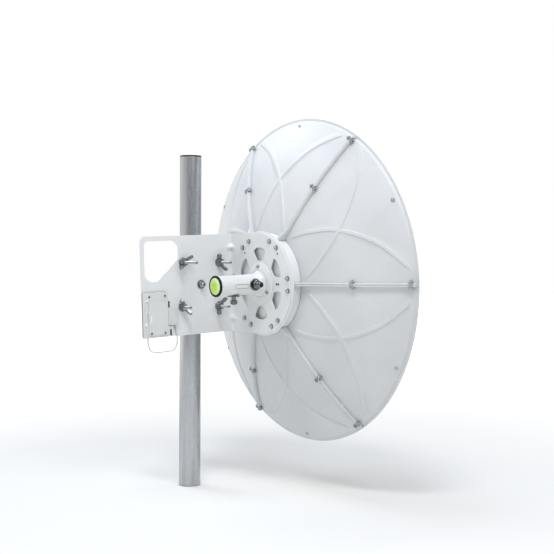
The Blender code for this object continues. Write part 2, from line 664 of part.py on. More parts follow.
# Adapter panel at the side plate's lower rear corner, with the clip and the hand loop beside it
face_x = SIDE_X + CLEARANCE
panel_top = face_x + 0.0065
panel = rounded([(-0.1905, -0.1350), (-0.0990, -0.1350), (-0.0990, -0.1075), (-0.1125, -0.1075),
                 (-0.1125, -0.0135), (-0.1905, -0.0135)], [0.005, 0.004, 0.003, 0.003, 0.004, 0.004], 4)
adapter = finish("adapter_panel", on_side(panel, face_x, panel_top), white, 0.35, 0.0, tilt)
through = on_side(strap_slot(-0.133), low_x, high_x)
through.transform(tilt)
boolean(adapter, through)
lid = rounded([(-0.1755, -0.1290), (-0.1165, -0.1290), (-0.1165, -0.0380), (-0.1755, -0.0380)], 0.003, 3)
lid_rear = panel_top + CLEARANCE
finish("adapter_lid", on_side(lid, lid_rear, lid_rear + 0.0024), white, 0.35, 0.0, tilt)
clip_y = (-0.1120, -0.0800)
clip_z = (-0.1045, -0.0610)
clip_profile = [(face_x, clip_y[0]), (face_x + 0.0066, clip_y[0]), (face_x + 0.0080, clip_y[0] + 0.0014),
                (face_x + 0.0080, clip_y[1] - 0.0080), (face_x + 0.0062, clip_y[1]), (face_x, clip_y[1])]
finish("cable_clip", prism(clip_profile, (0, 0, clip_z[0]), (1, 0, 0), (0, 1, 0), clip_z[1] - clip_z[0]),
       (0.86, 0.87, 0.86), 0.35, 0.0, tilt)
LOOP_WIDE = 0.0064
LOOP_THICK = 0.0032
loop_path = [(-0.1765, -0.1353), (-0.1770, -0.1500), (-0.1745, -0.1640), (-0.1660, -0.1730), (-0.1530, -0.1760),
             (-0.1090, -0.1760), (-0.0965, -0.1730), (-0.0875, -0.1640), (-0.0840, -0.1500), (-0.0845, -0.1350),
             (-0.0895, -0.1051)]
route = [(face_x + LOOP_WIDE / 2, y, z) for y, z in loop_path]
finish("hand_loop", swept(route, LOOP_WIDE, LOOP_THICK, (1, 0, 0)), (0.88, 0.88, 0.85), 0.45, 0.0, tilt)
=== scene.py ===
from math import atan2, cos, degrees, pi, radians, sin, sqrt, tan

import bmesh
import bpy
from mathutils import Matrix, Vector


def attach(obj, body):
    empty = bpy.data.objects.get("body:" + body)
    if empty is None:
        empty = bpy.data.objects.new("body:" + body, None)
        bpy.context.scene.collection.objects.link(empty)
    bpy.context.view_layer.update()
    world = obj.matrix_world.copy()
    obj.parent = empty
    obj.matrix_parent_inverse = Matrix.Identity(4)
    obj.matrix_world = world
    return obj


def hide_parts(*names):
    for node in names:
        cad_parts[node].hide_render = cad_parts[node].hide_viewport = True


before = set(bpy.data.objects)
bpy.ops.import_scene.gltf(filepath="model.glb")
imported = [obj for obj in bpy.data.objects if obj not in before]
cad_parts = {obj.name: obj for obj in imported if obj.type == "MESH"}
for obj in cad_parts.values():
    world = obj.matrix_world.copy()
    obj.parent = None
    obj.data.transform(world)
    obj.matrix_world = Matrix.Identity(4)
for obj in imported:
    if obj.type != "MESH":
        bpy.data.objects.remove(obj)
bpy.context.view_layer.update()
scene = bpy.context.scene
print("frame loaded:", len(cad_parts), "nodes")

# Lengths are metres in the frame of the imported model: Z up, the dish looks along +Y.
layout = {
    "pivotHeight": 0.5633, "upTilt": 2.2,  # where the bracket hangs on the pole, how far the dish looks up
    "axisX": 0.185, "rimY": 0.2703, "rimRadius": 0.45, "focal": 0.36,  # the dish's axis, rim and curve
    "backY": 0.1061, "sideX": 0.053, "sheet": 0.003,  # rear of the back plate, outer face of the side plate
    "gap": 0.0003,  # left between parts that touch
}
axisX, backY, sideX, gap = layout["axisX"], layout["backY"], layout["sideX"], layout["gap"]
poleFrame = Matrix.Identity(4)
clampFrame = Matrix.Translation((0, 0, layout["pivotHeight"]))
dishFrame = clampFrame @ Matrix.Rotation(radians(layout["upTilt"]), 4, "X")


# Helpers: colour, nodes, meshes
def toLinear(hexText):
    parts = [int(hexText[i:i + 2], 16) / 255 for i in (1, 3, 5)]
    return tuple(c / 12.92 if c <= 0.04045 else ((c + 0.055) / 1.055) ** 2.4 for c in parts) + (1.0,)


def addNode(tree, kind, output, inputs=None, **settings):
    # one node with its settings and links; the output that is used comes back
    node = tree.nodes.new("ShaderNode" + kind)
    for name, value in settings.items():
        setattr(node, name, value)
    for socket, value in (inputs or {}).items():
        if isinstance(value, bpy.types.NodeSocket):
            tree.links.new(value, node.inputs[socket])
        else:
            node.inputs[socket].default_value = value
    return node.outputs[output]


def makeMaterial(name, look):
    # colours: two hex tones; patch and grain: feature sizes in mm; depth: relief in mm;
    # roughness: lowest and highest; stretch: how the pattern is drawn out along X, Y and Z
    material = bpy.data.materials.new(name)
    material.use_nodes = True
    tree = material.node_tree
    shader = tree.nodes["Principled BSDF"]
    for socket, value in look.get("sockets", {}).items():
        shader.inputs[socket].default_value = value
    shader.inputs["Metallic"].default_value = look.get("metallic", 0.0)
    spot = addNode(tree, "TexCoord", "Object")
    spot = addNode(tree, "Mapping", "Vector", {"Vector": spot, "Scale": look.get("stretch", (1, 1, 1))})
    patches = addNode(tree, "TexNoise", "Fac", {"Vector": spot, "Scale": 1000 / look["patch"], "Detail": 4.0})
    grain = addNode(tree, "TexNoise", "Fac", {"Vector": spot, "Scale": 1000 / look["grain"], "Detail": 2.0})
    spread = addNode(tree, "MapRange", "Result", {"Value": patches, "From Min": 0.3, "From Max": 0.7})
    low, high = (toLinear(tone) for tone in look["colours"])
    colour = addNode(tree, "Mix", 2, {0: spread, 6: low, 7: high}, data_type="RGBA")
    if look.get("cells"):  # zinc spangle: flat crystals of slightly different tone
        cells = addNode(tree, "TexVoronoi", "Color", {"Vector": spot, "Scale": 1000 / look["cells"]})
        cells = addNode(tree, "MapRange", "Result", {"Value": cells, "To Min": 0.96, "To Max": 1.02})
        tones = {0: 1.0, 6: colour, 7: cells}
        colour = addNode(tree, "Mix", 2, tones, data_type="RGBA", blend_type="MULTIPLY")
    if look.get("wearAndGlint"):  # edges brighter: rubbed edge wear, and on the dull zinc also painted glints
        edge = addNode(tree, "NewGeometry", "Pointiness")
        edge = addNode(tree, "MapRange", "Result", {"Value": edge, "From Min": 0.53, "From Max": 0.6})
        edge = addNode(tree, "Math", "Value", {0: edge, 1: patches}, operation="MULTIPLY")
        colour = addNode(tree, "Mix", 2, {0: edge, 6: colour, 7: toLinear(look["wearAndGlint"])}, data_type="RGBA")
    if look.get("pale"):  # another tone that takes over away from one point
        tone, middle, start, end = look["pale"]
        away = addNode(tree, "VectorMath", "Value", {0: spot, 1: middle}, operation="DISTANCE")
        away = addNode(tree, "MapRange", "Result", {"Value": away, "From Min": start, "From Max": end})
        colour = addNode(tree, "Mix", 2, {0: away, 6: colour, 7: toLinear(tone)}, data_type="RGBA")
    tree.links.new(colour, shader.inputs["Base Color"])
    smooth, rough = look["roughness"]
    span = {"Value": grain, "From Min": 0.3, "From Max": 0.7, "To Min": smooth, "To Max": rough}
    tree.links.new(addNode(tree, "MapRange", "Result", span), shader.inputs["Roughness"])
    relief = {"Height": grain, "Strength": 0.5, "Distance": look["depth"] / 1000}
    tree.links.new(addNode(tree, "Bump", "Normal", relief), shader.inputs["Normal"])
    return material


def addObject(name, data):
    thing = bpy.data.objects.new(name, data)
    scene.collection.objects.link(thing)
    return thing


def meshObject(name, mesh):
    # a plain object from a mesh, its doubled points merged and its faces all looking outward
    bmesh.ops.remove_doubles(mesh, verts=mesh.verts, dist=1e-6)
    bmesh.ops.recalc_face_normals(mesh, faces=mesh.faces)
    data = bpy.data.meshes.new(name)
    mesh.to_mesh(data)
    mesh.free()
    return addObject(name, data)


def addPiece(name, mesh, material, stands=(), body="antenna", place=dishFrame, bevel=0.0, sharp=32):
    piece = meshObject(name, mesh)
    data = piece.data
    data.transform(place)
    data.shade_smooth()
    data.set_sharp_from_angle(angle=radians(sharp))
    data.materials.append(material)
    if bevel:
        rounding = piece.modifiers.new("edges", "BEVEL")
        rounding.width = bevel
        rounding.segments = 2
        rounding.limit_method = "ANGLE"
        rounding.angle_limit = radians(sharp)
        rounding.harden_normals = True
    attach(piece, body)
    if stands:
        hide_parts(*stands)
    return piece


def axesOf(direction):
    along = Vector(direction).normalized()
    side = along.cross(Vector((0, 0, 1)))
    if side.length < 0.5:
        side = along.cross(Vector((1, 0, 0)))
    side.normalize()
    return along, side, along.cross(side)


def rounded(points, radii, steps=4):
    # a closed outline with each corner rounded, by less where its sides are short
    result = []
    for index, point in enumerate(points):
        here = Vector(point)
        one = Vector(points[index - 1]) - here
        two = Vector(points[(index + 1) % len(points)]) - here
        radius = radii[index] if isinstance(radii, (list, tuple)) else radii
        half = one.angle(two) / 2 if one.length > 1e-7 and two.length > 1e-7 else 2
        if radius <= 0 or half > 1.53:
            result.append(tuple(here))
            continue
        reach = min(radius / tan(half), one.length * 0.45, two.length * 0.45)
        radius = reach * tan(half)
        one.normalize()
        two.normalize()
        centre = here + (one + two).normalized() * (radius / sin(half))
        start, end = here + one * reach - centre, here + two * reach - centre
        turn = start.angle(end) * (1 if start.x * end.y > start.y * end.x else -1)
        base = atan2(start.y, start.x)
        for step in range(steps + 1):
            angle = base + turn * step / steps
            result.append((centre.x + radius * cos(angle), centre.y + radius * sin(angle)))
    return result


def joinRings(mesh, rings):
    # a closed skin through rings of points, the last ring joined to the first
    for first, second in zip(rings, rings[1:] + rings[:1]):
        for step in range(len(first)):
            after = (step + 1) % len(first)
            corners = list(dict.fromkeys((first[step], second[step], second[after], first[after])))
            if len(corners) > 2:
                mesh.faces.new(corners)
    return mesh


def turned(mesh, profile, centre, direction, sides=96, soft=0.0005, shape=None):
    # a closed profile of (radius, distance) spun round an axis, its corners softened
    along, side, other = axesOf(direction)
    centre = Vector(centre)
    radii = [0 if radius < 1e-6 else soft for radius, distance in profile]
    rings = []
    for radius, distance in rounded(profile, radii, 3):
        middle = centre + along * distance
        if radius < 1e-6:
            rings.append([mesh.verts.new(middle)] * sides)
            continue
        ring = []
        for step in range(sides):
            angle = 2 * pi * step / sides
            wide = radius * (shape(angle) if shape else 1)
            ring.append(mesh.verts.new(middle + (side * cos(angle) + other * sin(angle)) * wide))
        rings.append(ring)
    return joinRings(mesh, rings)


def onAxis(profile, sides=128, soft=0.0005):
    return turned(bmesh.new(), profile, (axisX, 0, 0), (0, 1, 0), sides, soft)


def washer(mesh, wide, thick, base, direction, sides=40, soft=0.0002, hole=0.0):
    return turned(mesh, [(hole, 0), (wide, 0), (wide, thick), (hole, thick)], base, direction, sides, soft)


def around(radius, y, angle):
    # a point at a radius and an angle round the dish's axis
    return Vector((axisX + radius * cos(angle), y, radius * sin(angle)))


def fillLoops(mesh, loops):
    # flat triangles inside the first loop of points and outside the others
    rows, edges = [], []
    for loop in loops:
        row = [mesh.verts.new(point) for point in loop]
        rows.append(row)
        edges += [mesh.edges.new((row[i - 1], row[i])) for i in range(len(row))]
    filled = bmesh.ops.triangle_fill(mesh, use_beauty=True, edges=edges)
    return rows, [face for face in filled["geom"] if isinstance(face, bmesh.types.BMFace)]


def plate(mesh, outline, origin, u, v, depth):
    # a flat outline thickened along u x v
    origin, u, v = Vector(origin), Vector(u), Vector(v)
    lift = u.cross(v).normalized() * depth
    (row,), faces = fillLoops(mesh, [[origin + u * a + v * b for a, b in outline]])
    top = {vert: mesh.verts.new(vert.co + lift) for vert in row}
    for face in faces:
        mesh.faces.new([top[vert] for vert in reversed(face.verts)])
    for i in range(len(row)):
        mesh.faces.new((row[i - 1], row[i], top[row[i]], top[row[i - 1]]))
    return mesh


def sidePlate(mesh, outline, low, thick):
    # an outline in Y and Z, raised from one X
    return plate(mesh, outline, (low, 0, 0), (0, 1, 0), (0, 0, 1), thick)


def levelPlate(mesh, outline, low, thick):
    # an outline in X and Y, raised from one Z
    return plate(mesh, outline, (0, 0, low), (1, 0, 0), (0, 1, 0), thick)


def oblong(u, v, wide, high, radius=0.0008, steps=5):
    corners = [(u + wide / 2 * a, v + high / 2 * b) for a, b in ((-1, -1), (1, -1), (1, 1), (-1, 1))]
    return rounded(corners, radius, steps)


def circle(radius, u=0.0, v=0.0, sides=32):
    return [(u + radius * cos(2 * pi * k / sides), v + radius * sin(2 * pi * k / sides))
        for k in range(sides)]


def carve(mesh, tool, operation="DIFFERENCE"):
    # cut or join one closed mesh with another and hand back the plain result
    things = [meshObject("carving", part) for part in (mesh, tool)]
    cut = things[0].modifiers.new("cut", "BOOLEAN")
    cut.operation, cut.solver, cut.object = operation, "EXACT", things[1]
    bpy.context.view_layer.update()
    result = bpy.data.meshes.new_from_object(things[0].evaluated_get(bpy.context.view_layer.depsgraph))
    carved = bmesh.new()
    carved.from_mesh(result)
    for thing in things:
        data = thing.data
        bpy.data.objects.remove(thing, do_unlink=True)
        bpy.data.meshes.remove(data)
    bpy.data.meshes.remove(result)
    return carved


def hexBlock(mesh, centre, direction, acrossFlats, bottom, top, spin=0.0, bore=0.0, sides=48):
    # a nut or bolt head: a hexagon whose corners are turned off at 30 degrees
    along, side, other = axesOf(direction)
    centre, flat = Vector(centre), acrossFlats / 2
    face = flat * 0.96  # radius of the flat face that the turning leaves
    rings = []
    for level, outward in ((bottom, -1), (top, 1)):
        inner, rim, edge = [], [], []
        for step in range(sides):
            angle = 2 * pi * step / sides
            reach = flat / cos((angle + spin) % (pi / 3) - pi / 6)
            drop = (reach - face) * tan(radians(30))
            away = side * cos(angle) + other * sin(angle)
            inner.append(mesh.verts.new(centre + along * level + away * max(bore, 1e-5)))
            rim.append(mesh.verts.new(centre + along * level + away * face))
            edge.append(mesh.verts.new(centre + along * (level - outward * drop) + away * reach))
        rings += [inner, rim, edge] if outward < 0 else [edge, rim, inner]
    return joinRings(mesh, rings)


def threadRidge(mesh, centre, direction, radius, depth, pitch, start, end, sides=14):
    # one raised screw thread, fading in and out at its ends
    along, side, other = axesOf(direction)
    centre = Vector(centre)
    count = int((end - start) / pitch * sides)
    rows = []
    for k in range(count + 1):
        angle = 2 * pi * k / sides
        away = side * cos(angle) + other * sin(angle)
        rise = depth * min(1, k / sides, (count - k) / sides)
        middle = centre + along * (start + pitch * k / sides)
        foot = away * (radius - depth - 0.00008)
        rows.append([mesh.verts.new(middle + foot - along * pitch * 0.46),
            mesh.verts.new(middle + away * (radius - depth + rise)),
            mesh.verts.new(middle + foot + along * pitch * 0.46)])
    for first, second in zip(rows, rows[1:]):
        for k in range(3):
            mesh.faces.new((first[k - 1], first[k], second[k], second[k - 1]))
    mesh.faces.new(rows[0])
    mesh.faces.new(rows[-1])
    return mesh


# Materials
# Powder-coated sheet: baked polyester, so an even off-white with a soft sheen and a faint orange peel.
# The real peel is about 1 mm across; it is drawn at 3 mm so that it shows.
coat = {"patch": 120, "grain": 3.0, "depth": 0.03, "roughness": (0.36, 0.46)}
powderCoat = makeMaterial("powderCoatedSheet", {**coat, "colours": ("#CBCDCE", "#D3D5D6"), "patch": 140})
# The same coat made paler, as painted light: the bracket, hub pan and feed flange are painted brighter than
# the petals to stand in for the stronger light on them.
paintedLightCoat = makeMaterial("paintedLightPowderCoat", {**coat, "colours": ("#DFE1E1", "#E6E7E7")})
# Nearly white, as painted light: the pan's floor is painted bright for the light that reaches it through the
# back plate's windows, and the adapter's pads for the highlights on them.
paintedLightWhite = makeMaterial("paintedLightWhiteCoat", {**coat, "colours": ("#F2F3F3", "#F8F8F8")})
# A duller coat of a slightly warmer white than the plate behind it: adapter panel and lid.
coverCoat = makeMaterial("coverPowderCoat", {
    **coat, "colours": ("#D3D4D2", "#DBDCDA"), "patch": 90, "roughness": (0.42, 0.54)})
# Galvanised steel tube: zinc over drawn tube, so grey with streaks along its length and a faint spangle.
galvanised = makeMaterial("galvanisedTube", {
    "colours": ("#A9ACAE", "#BEC0C2"), "patch": 16, "grain": 2.0, "depth": 0.02, "roughness": (0.24, 0.36),
    "metallic": 1.0, "stretch": (1, 1, 0.06), "cells": 9})
# Sand-cast aluminium: pebbly grey skin, a little brighter where edges rub.
castAluminium = makeMaterial("castAluminium", {
    "colours": ("#8E9092", "#A2A4A5"), "patch": 20, "grain": 1.4, "depth": 0.12, "roughness": (0.42, 0.6),
    "metallic": 1.0, "wearAndGlint": "#C4C6C8"})
# Near-black steel for the button screws in the back plate's small holes: painted shade that makes the holes
# read dark; their edges rubbed to dark grey.
paintedShadeBlack = makeMaterial("paintedShadeBlackSteel", {
    "colours": ("#28292B", "#3A3B3D"), "patch": 6, "grain": 0.8, "depth": 0.03, "roughness": (0.34, 0.5),
    "metallic": 1.0, "wearAndGlint": "#77797C"})
# Dull zinc on cast and turned steel: the clamp's bolts and wing nuts, middle grey; the near-white tone on
# their edges is partly rubbed wear and partly painted glints.
darkSteel = makeMaterial("dullZincSteel", {
    "colours": ("#727476", "#8A8C8E"), "patch": 6, "grain": 0.8, "depth": 0.04, "roughness": (0.3, 0.44),
    "metallic": 1.0, "wearAndGlint": "#D0D2D4"})
# Stainless steel: seam bolts, rim screws and flange screws, cleaner than the zinc.
stainless = makeMaterial("stainlessSteel", {
    "colours": ("#AFB1B2", "#C3C5C6"), "patch": 5, "grain": 0.6, "depth": 0.02, "roughness": (0.24, 0.36),
    "metallic": 1.0})
# Bright zinc on steel: light hub screws and thin washers.
brightZinc = makeMaterial("brightZincSteel", {
    "colours": ("#B4B8BA", "#C8CBCC"), "patch": 6, "grain": 0.8, "depth": 0.02, "roughness": (0.25, 0.4),
    "metallic": 1.0})
# Nickel-plated brass: turned sockets, a smooth neutral grey that mirrors the room.
nickel = makeMaterial("nickelPlatedBrass", {
    "colours": ("#6E7071", "#868888"), "patch": 8, "grain": 0.7, "depth": 0.01, "roughness": (0.16, 0.28),
    "metallic": 1.0})
# Gold-plated pin inside the sockets: warm and smooth.
goldPin = makeMaterial("goldPlatedPin", {
    "colours": ("#D9B45A", "#E5C36C"), "patch": 4, "grain": 0.5, "depth": 0.005, "roughness": (0.2, 0.3),
    "metallic": 1.0})
# Satin-anodised aluminium: turned tube and small reflector, with fine rings across its length.
anodised = makeMaterial("anodisedAluminium", {
    "colours": ("#B2B5B8", "#C3C6C8"), "patch": 14, "grain": 0.9, "depth": 0.01, "roughness": (0.28, 0.4),
    "metallic": 1.0, "stretch": (0.2, 1, 0.2)})
# Gloss ABS: moulded white housing with a tight highlight and slight flow marks.
glossAbs = makeMaterial("glossAbs", {
    "colours": ("#DCDEDD", "#E4E6E5"), "patch": 60, "grain": 4.0, "depth": 0.01, "roughness": (0.22, 0.3),
    "sockets": {"Coat Weight": 0.3, "Coat Roughness": 0.12}})
# EPDM rubber: dull black ring and cap, and, as painted shade, the dark lining of the slots and the dark sheet
# under the adapter panel.
rubber = makeMaterial("epdmRubber", {
    "colours": ("#080A08", "#101310"), "patch": 10, "grain": 0.9, "depth": 0.04, "roughness": (0.5, 0.66),
    "sockets": {"Specular IOR Level": 0.3}})
# PTFE: waxy white feed cone, a little light gets into it.
ptfe = makeMaterial("turnedPtfe", {
    "colours": ("#E4E1D8", "#ECE9E1"), "patch": 30, "grain": 1.0, "depth": 0.02, "roughness": (0.42, 0.52),
    "stretch": (0.3, 1, 0.3), "sockets": {"Subsurface Weight": 0.15, "Subsurface Scale": 0.004}})
# Polypropylene: pale moulded clip and hand loop, satin and neutral.
polypropylene = makeMaterial("polypropylene", {
    "colours": ("#CFD0CE", "#D8D9D7"), "patch": 30, "grain": 1.2, "depth": 0.03, "roughness": (0.4, 0.52)})
# Phenolic resin: matt black insulator inside the sockets.
phenolic = makeMaterial("blackPhenolic", {
    "colours": ("#0C0D0E", "#151617"), "patch": 5, "grain": 0.8, "depth": 0.02, "roughness": (0.5, 0.7)})

# Lime acrylic: cast disc, clear over a bright green middle that pales towards its edge.
sight = {
    "radius": 0.0225, "rear": -0.0456, "brightAt": (-0.004, -0.001),  # the middle lies a little off the axis
    "dimples": [(0.0066, 0.0125), (0.0063, 0.0043), (0.0099, -0.0018), (-0.008, -0.0047), (-0.0015, -0.0111),
                (0.0063, -0.0109)]}
brightX, brightZ = sight["brightAt"]
limeAcrylic = makeMaterial("limeAcrylic", {
    "colours": ("#B2E044", "#C0E860"), "patch": 12, "grain": 1.5, "depth": 0.01, "roughness": (0.2, 0.3),
    "pale": ("#DDF3B4", dishFrame @ Vector((axisX + brightX, sight["rear"], brightZ)), 0.01, 0.024),
    "sockets": {"Coat Weight": 0.25, "Subsurface Weight": 0.1, "Subsurface Scale": 0.003}})
print("materials made:", len(bpy.data.materials))

# Reflector: six pressed petals
petals = {
    "skin": 0.002, "inner": 0.129, "hubEdge": 0.1376,  # sheet, inner edge, start of the seams
    "flange": 0.01, "hem": 0.0045, "bend": 0.0018,  # turned seam edges: height, folded thickness, bend
    "gusset": 0.0186, "gussetEnd": 0.172,  # how much higher they stand at the hub, and where that ends
    "rows": 70, "skinEnd": 0.43, "rimFade": 0.012,  # rows of points, start of the rim, fade of the edges
    "ribHalf": 0.0055, "ribHeight": 0.0025, "ribSide": 0.42,  # half its width, height, part of it that slopes
    "ribStart": 0.15, "ribEnd": 0.437, "ribFade": (0.014, 0.012),
    "ribPath": [  # radius, degrees from the seam
        (0.15, 6.5), (0.16, 8.3), (0.18, 13.0), (0.2, 16.8), (0.22, 20.8), (0.25, 25.3), (0.282, 30.0),
        (0.315, 35.3), (0.345, 40.0), (0.372, 44.0), (0.4, 49.0), (0.42, 52.5), (0.44, 55.6)],
    "rim": [  # radius, and depth off the bowl's curve, or in the dish's frame once it has left the curve
        (0.4345, 0.0), (0.4368, 0.0), (0.4382, -0.0002), (0.4392, 0.2639), (0.44, 0.2654),
        (0.4408, 0.2671), (0.4417, 0.2686), (0.4429, 0.26975), (0.4444, 0.27022), (0.4462, 0.2703),
        (0.4482, 0.2703), (0.4496, 0.2703), (0.45, 0.2703)],
}
focal, rimY = layout["focal"], layout["rimY"]
vertexY = rimY - layout["rimRadius"] ** 2 / (4 * focal)


def bowl(radius):
    return vertexY + radius * radius / (4 * focal)


def ribAngle(radius):
    # the rib's path, eased between the points of the table
    path, total = petals["ribPath"], 0
    for k in range(-4, 5):
        at = min(max(radius + 0.003 * k, path[0][0]), path[-1][0])
        for (r0, a0), (r1, a1) in zip(path, path[1:]):
            if at <= r1:
                total += a0 + (a1 - a0) * (at - r0) / (r1 - r0)
                break
    return total / 9


def ease(value):
    value = min(1, max(0, value))
    return value * value * (3 - 2 * value)


def gusset(radius):
    # all of a gusset at the hub, none further out
    if radius < petals["hubEdge"]:
        return 0
    return max(0, (petals["gussetEnd"] - radius) / (petals["gussetEnd"] - petals["hubEdge"]))


def petalRows():
    # radius, depth and height of the turned edges, from under the centre plate out to the rim
    hubEdge, flange, least = petals["hubEdge"], petals["flange"], 0.0001
    rows = [(radius, bowl(radius), least) for radius in (petals["inner"], hubEdge - 0.001)]
    for k in range(petals["rows"] + 1):
        radius = hubEdge + 0.0002 + (petals["skinEnd"] - hubEdge) * k / petals["rows"]
        rows.append((radius, bowl(radius), flange + petals["gusset"] * gusset(radius)))
    for radius, y in petals["rim"]:
        height = flange * ease((layout["rimRadius"] - radius) / petals["rimFade"])
        rows.append((radius, y if y > 0.1 else bowl(radius) + y, max(height, least)))
    return rows


def petalMesh(number):
    rows = petalRows()
    seam, edge, skin = radians(60 * number), gap / 2, petals["skin"]
    fadeIn, fadeOut = petals["ribFade"]
    mesh = bmesh.new()
    sections = []
    for index, (radius, y, flange) in enumerate(rows):
        before, after = rows[max(index - 1, 0)], rows[min(index + 1, len(rows) - 1)]
        slope = Vector((after[0] - before[0], after[1] - before[1])).normalized()
        rear = Vector((slope.y, -slope.x))
        inside = 0.00005 if flange < 0.001 else min(petals["bend"], flange * 0.4)
        outside, reach = inside + skin, skin + flange
        hem = min(petals["hem"], flange * 0.9)
        notch = min(0.0006, flange * 0.06)

        def edgePoint(lateral, offset, far):
            # a point of the turned edge, at the petal's own seam or at its far one
            r = radius + rear.x * (min(offset, skin) + max(offset - skin, 0) * (1 - gusset(radius)))
            r = min(r, layout["rimRadius"])
            angle = atan2(lateral, sqrt(r * r - lateral * lateral))
            angle = seam + (radians(60) - angle if far else angle)
            return mesh.verts.new(around(r, y + rear.y * offset, angle))

        bends = [radians(270 - 90 * k / 4) for k in range(5)]
        centre = edge + outside
        turnedEdge = [(centre + outside * cos(b), outside + outside * sin(b)) for b in bends]
        turnedEdge += [(edge + hem / 2 * (1 - cos(b)), reach - hem / 2 * (1 - sin(b)))
            for b in (radians(30 * k) for k in range(7))]
        turnedEdge += [(edge + hem, skin + 2 * notch), (edge + hem - notch, skin + notch),
            (edge + hem - notch, skin)]
        rib = ribAngle(radius)
        lean = radians(ribAngle(radius + 0.003) - ribAngle(radius - 0.003)) / 0.006 * radius
        wide = degrees(petals["ribHalf"] * sqrt(1 + lean * lean) / radius)
        strength = ease((radius - petals["ribStart"]) / fadeIn) * ease((petals["ribEnd"] - radius) / fadeOut)
        near = min(rib, 60 - rib)
        first = degrees(atan2(max(centre, edge + petals["hem"]), radius))
        low, high = max(near - wide, first + 0.4), min(near + wide, 29.7)
        columns = [first + (low - first) * k / 7 for k in range(1, 7)]
        columns += [low + (high - low) * k / 20 for k in range(21)]
        columns += [high + (30 - high) * k / 6 for k in range(1, 6)]
        columns += [30.0] + [60 - a for a in reversed(columns)]  # the other half mirrors this one
        front, back = [], []
        for column in columns:
            away = min(abs(column - rib), abs(column - 60 + rib)) / wide
            lift = petals["ribHeight"] * strength * ease((1 - away) / petals["ribSide"])
            angle = seam + radians(column)
            for row, offset in ((front, lift), (back, lift + skin)):
                row.append(mesh.verts.new(around(radius + rear.x * offset, y + rear.y * offset, angle)))
        left, right = ([edgePoint(a, b, far) for a, b in turnedEdge] for far in (False, True))
        sections.append((left, front, right, back))
    for one, two in zip(sections, sections[1:]):
        loops = [left[::-1] + front + right + back[::-1] for left, front, right, back in (one, two)]
        for k in range(len(loops[0])):
            mesh.faces.new((loops[0][k - 1], loops[0][k], loops[1][k], loops[1][k - 1]))
    for left, front, right, back in (sections[0], sections[-1]):
        whole = [left[0]] + front + [right[0]], [left[-1]] + back + [right[-1]]
        for k in range(len(whole[0]) - 1):
            mesh.faces.new((whole[0][k], whole[0][k + 1], whole[1][k + 1], whole[1][k]))
        mesh.faces.new(left)
        mesh.faces.new(right)
    return mesh


for number in range(6):
    addPiece("petal_sheet_%d" % (number + 1), petalMesh(number), powderCoat,
        ["petal_%d" % (number + 1)], sharp=40)
print("petals pressed")


def dishPoint(radius, turn, rise):
    # a point on the rear skin at a polar place, raised along the skin's own normal, with that normal
    slope = Vector((1, radius / (2 * focal))).normalized()
    offset, a = petals["skin"] + rise, radians(turn)
    normal = Vector((slope.y * cos(a), -slope.x, slope.y * sin(a)))
    return around(radius + slope.y * offset, bowl(radius) - slope.x * offset, a), normal


# Seam bolts: through the turned edges, square to each seam, one half way out and one at the rim
seamBolts = {"radii": (0.292, 0.4335), "rise": 0.0076, "flats": 0.0108, "washer": (0.0073, 0.0012),
    "shank": 0.003, "drive": 0.0024, "head": (0.0013, 0.0058), "nut": (0.0013, 0.0063), "end": 0.0086,
    "thread": (0.0003, 0.001)}
bolts, washers = bmesh.new(), bmesh.new()
stack = petals["hem"] + gap / 2  # half the pair of turned edges
flats, shank, end = seamBolts["flats"], seamBolts["shank"], stack + seamBolts["end"]
(seat, head), (nutLow, nutHigh), (wide, thick) = seamBolts["head"], seamBolts["nut"], seamBolts["washer"]
core = shank - seamBolts["thread"][0]
for number in range(6):
    a = radians(60 * number)
    across = Vector((-sin(a), 0, cos(a)))
    if across.z < 0:  # every bolt is put in from below
        across.negate()
    for radius in seamBolts["radii"]:
        middle = dishPoint(radius, 60 * number, seamBolts["rise"])[0]
        hexBlock(bolts, middle, across, flats, -stack - head, -stack - seat, bore=seamBolts["drive"])
        hexBlock(bolts, middle, across, flats, stack + nutLow, stack + nutHigh, spin=0.3, bore=shank)
        turned(bolts, [(0, -stack - 0.0014), (core, -stack - 0.0014), (core, end), (0, end)], middle, across,
            20, 0.0003)
        threadRidge(bolts, middle, across, shank, *seamBolts["thread"], stack + 0.0014, end - 0.0002, 12)
        for low in (-stack - thick, stack):
            washer(washers, wide, thick, middle + across * low, across, hole=shank + 0.0001)
addPiece("seam_bolts", bolts, stainless)
addPiece("seam_washers", washers, stainless)

# Rim screws: a small round-head screw on a light washer in the middle of each petal's rim
rimScrews = {"radius": 0.43, "head": 0.0034, "washer": 0.0062}
heads, washers = bmesh.new(), bmesh.new()
wide = rimScrews["head"]
for number in range(6):
    base, normal = dishPoint(rimScrews["radius"], 30 + 60 * number, 0)
    washer(washers, rimScrews["washer"], 0.001, base, normal, soft=0.0003)
    turned(heads, [(0, 0.0009), (wide, 0.0009), (wide, 0.0018), (wide * 0.8, 0.003), (wide * 0.45, 0.0034),
        (wide * 0.4, 0.002), (0, 0.002)], base, normal, 36, 0.0003)
addPiece("rim_screws", heads, stainless)
addPiece("rim_washers", washers, brightZinc)
print("petals bolted")

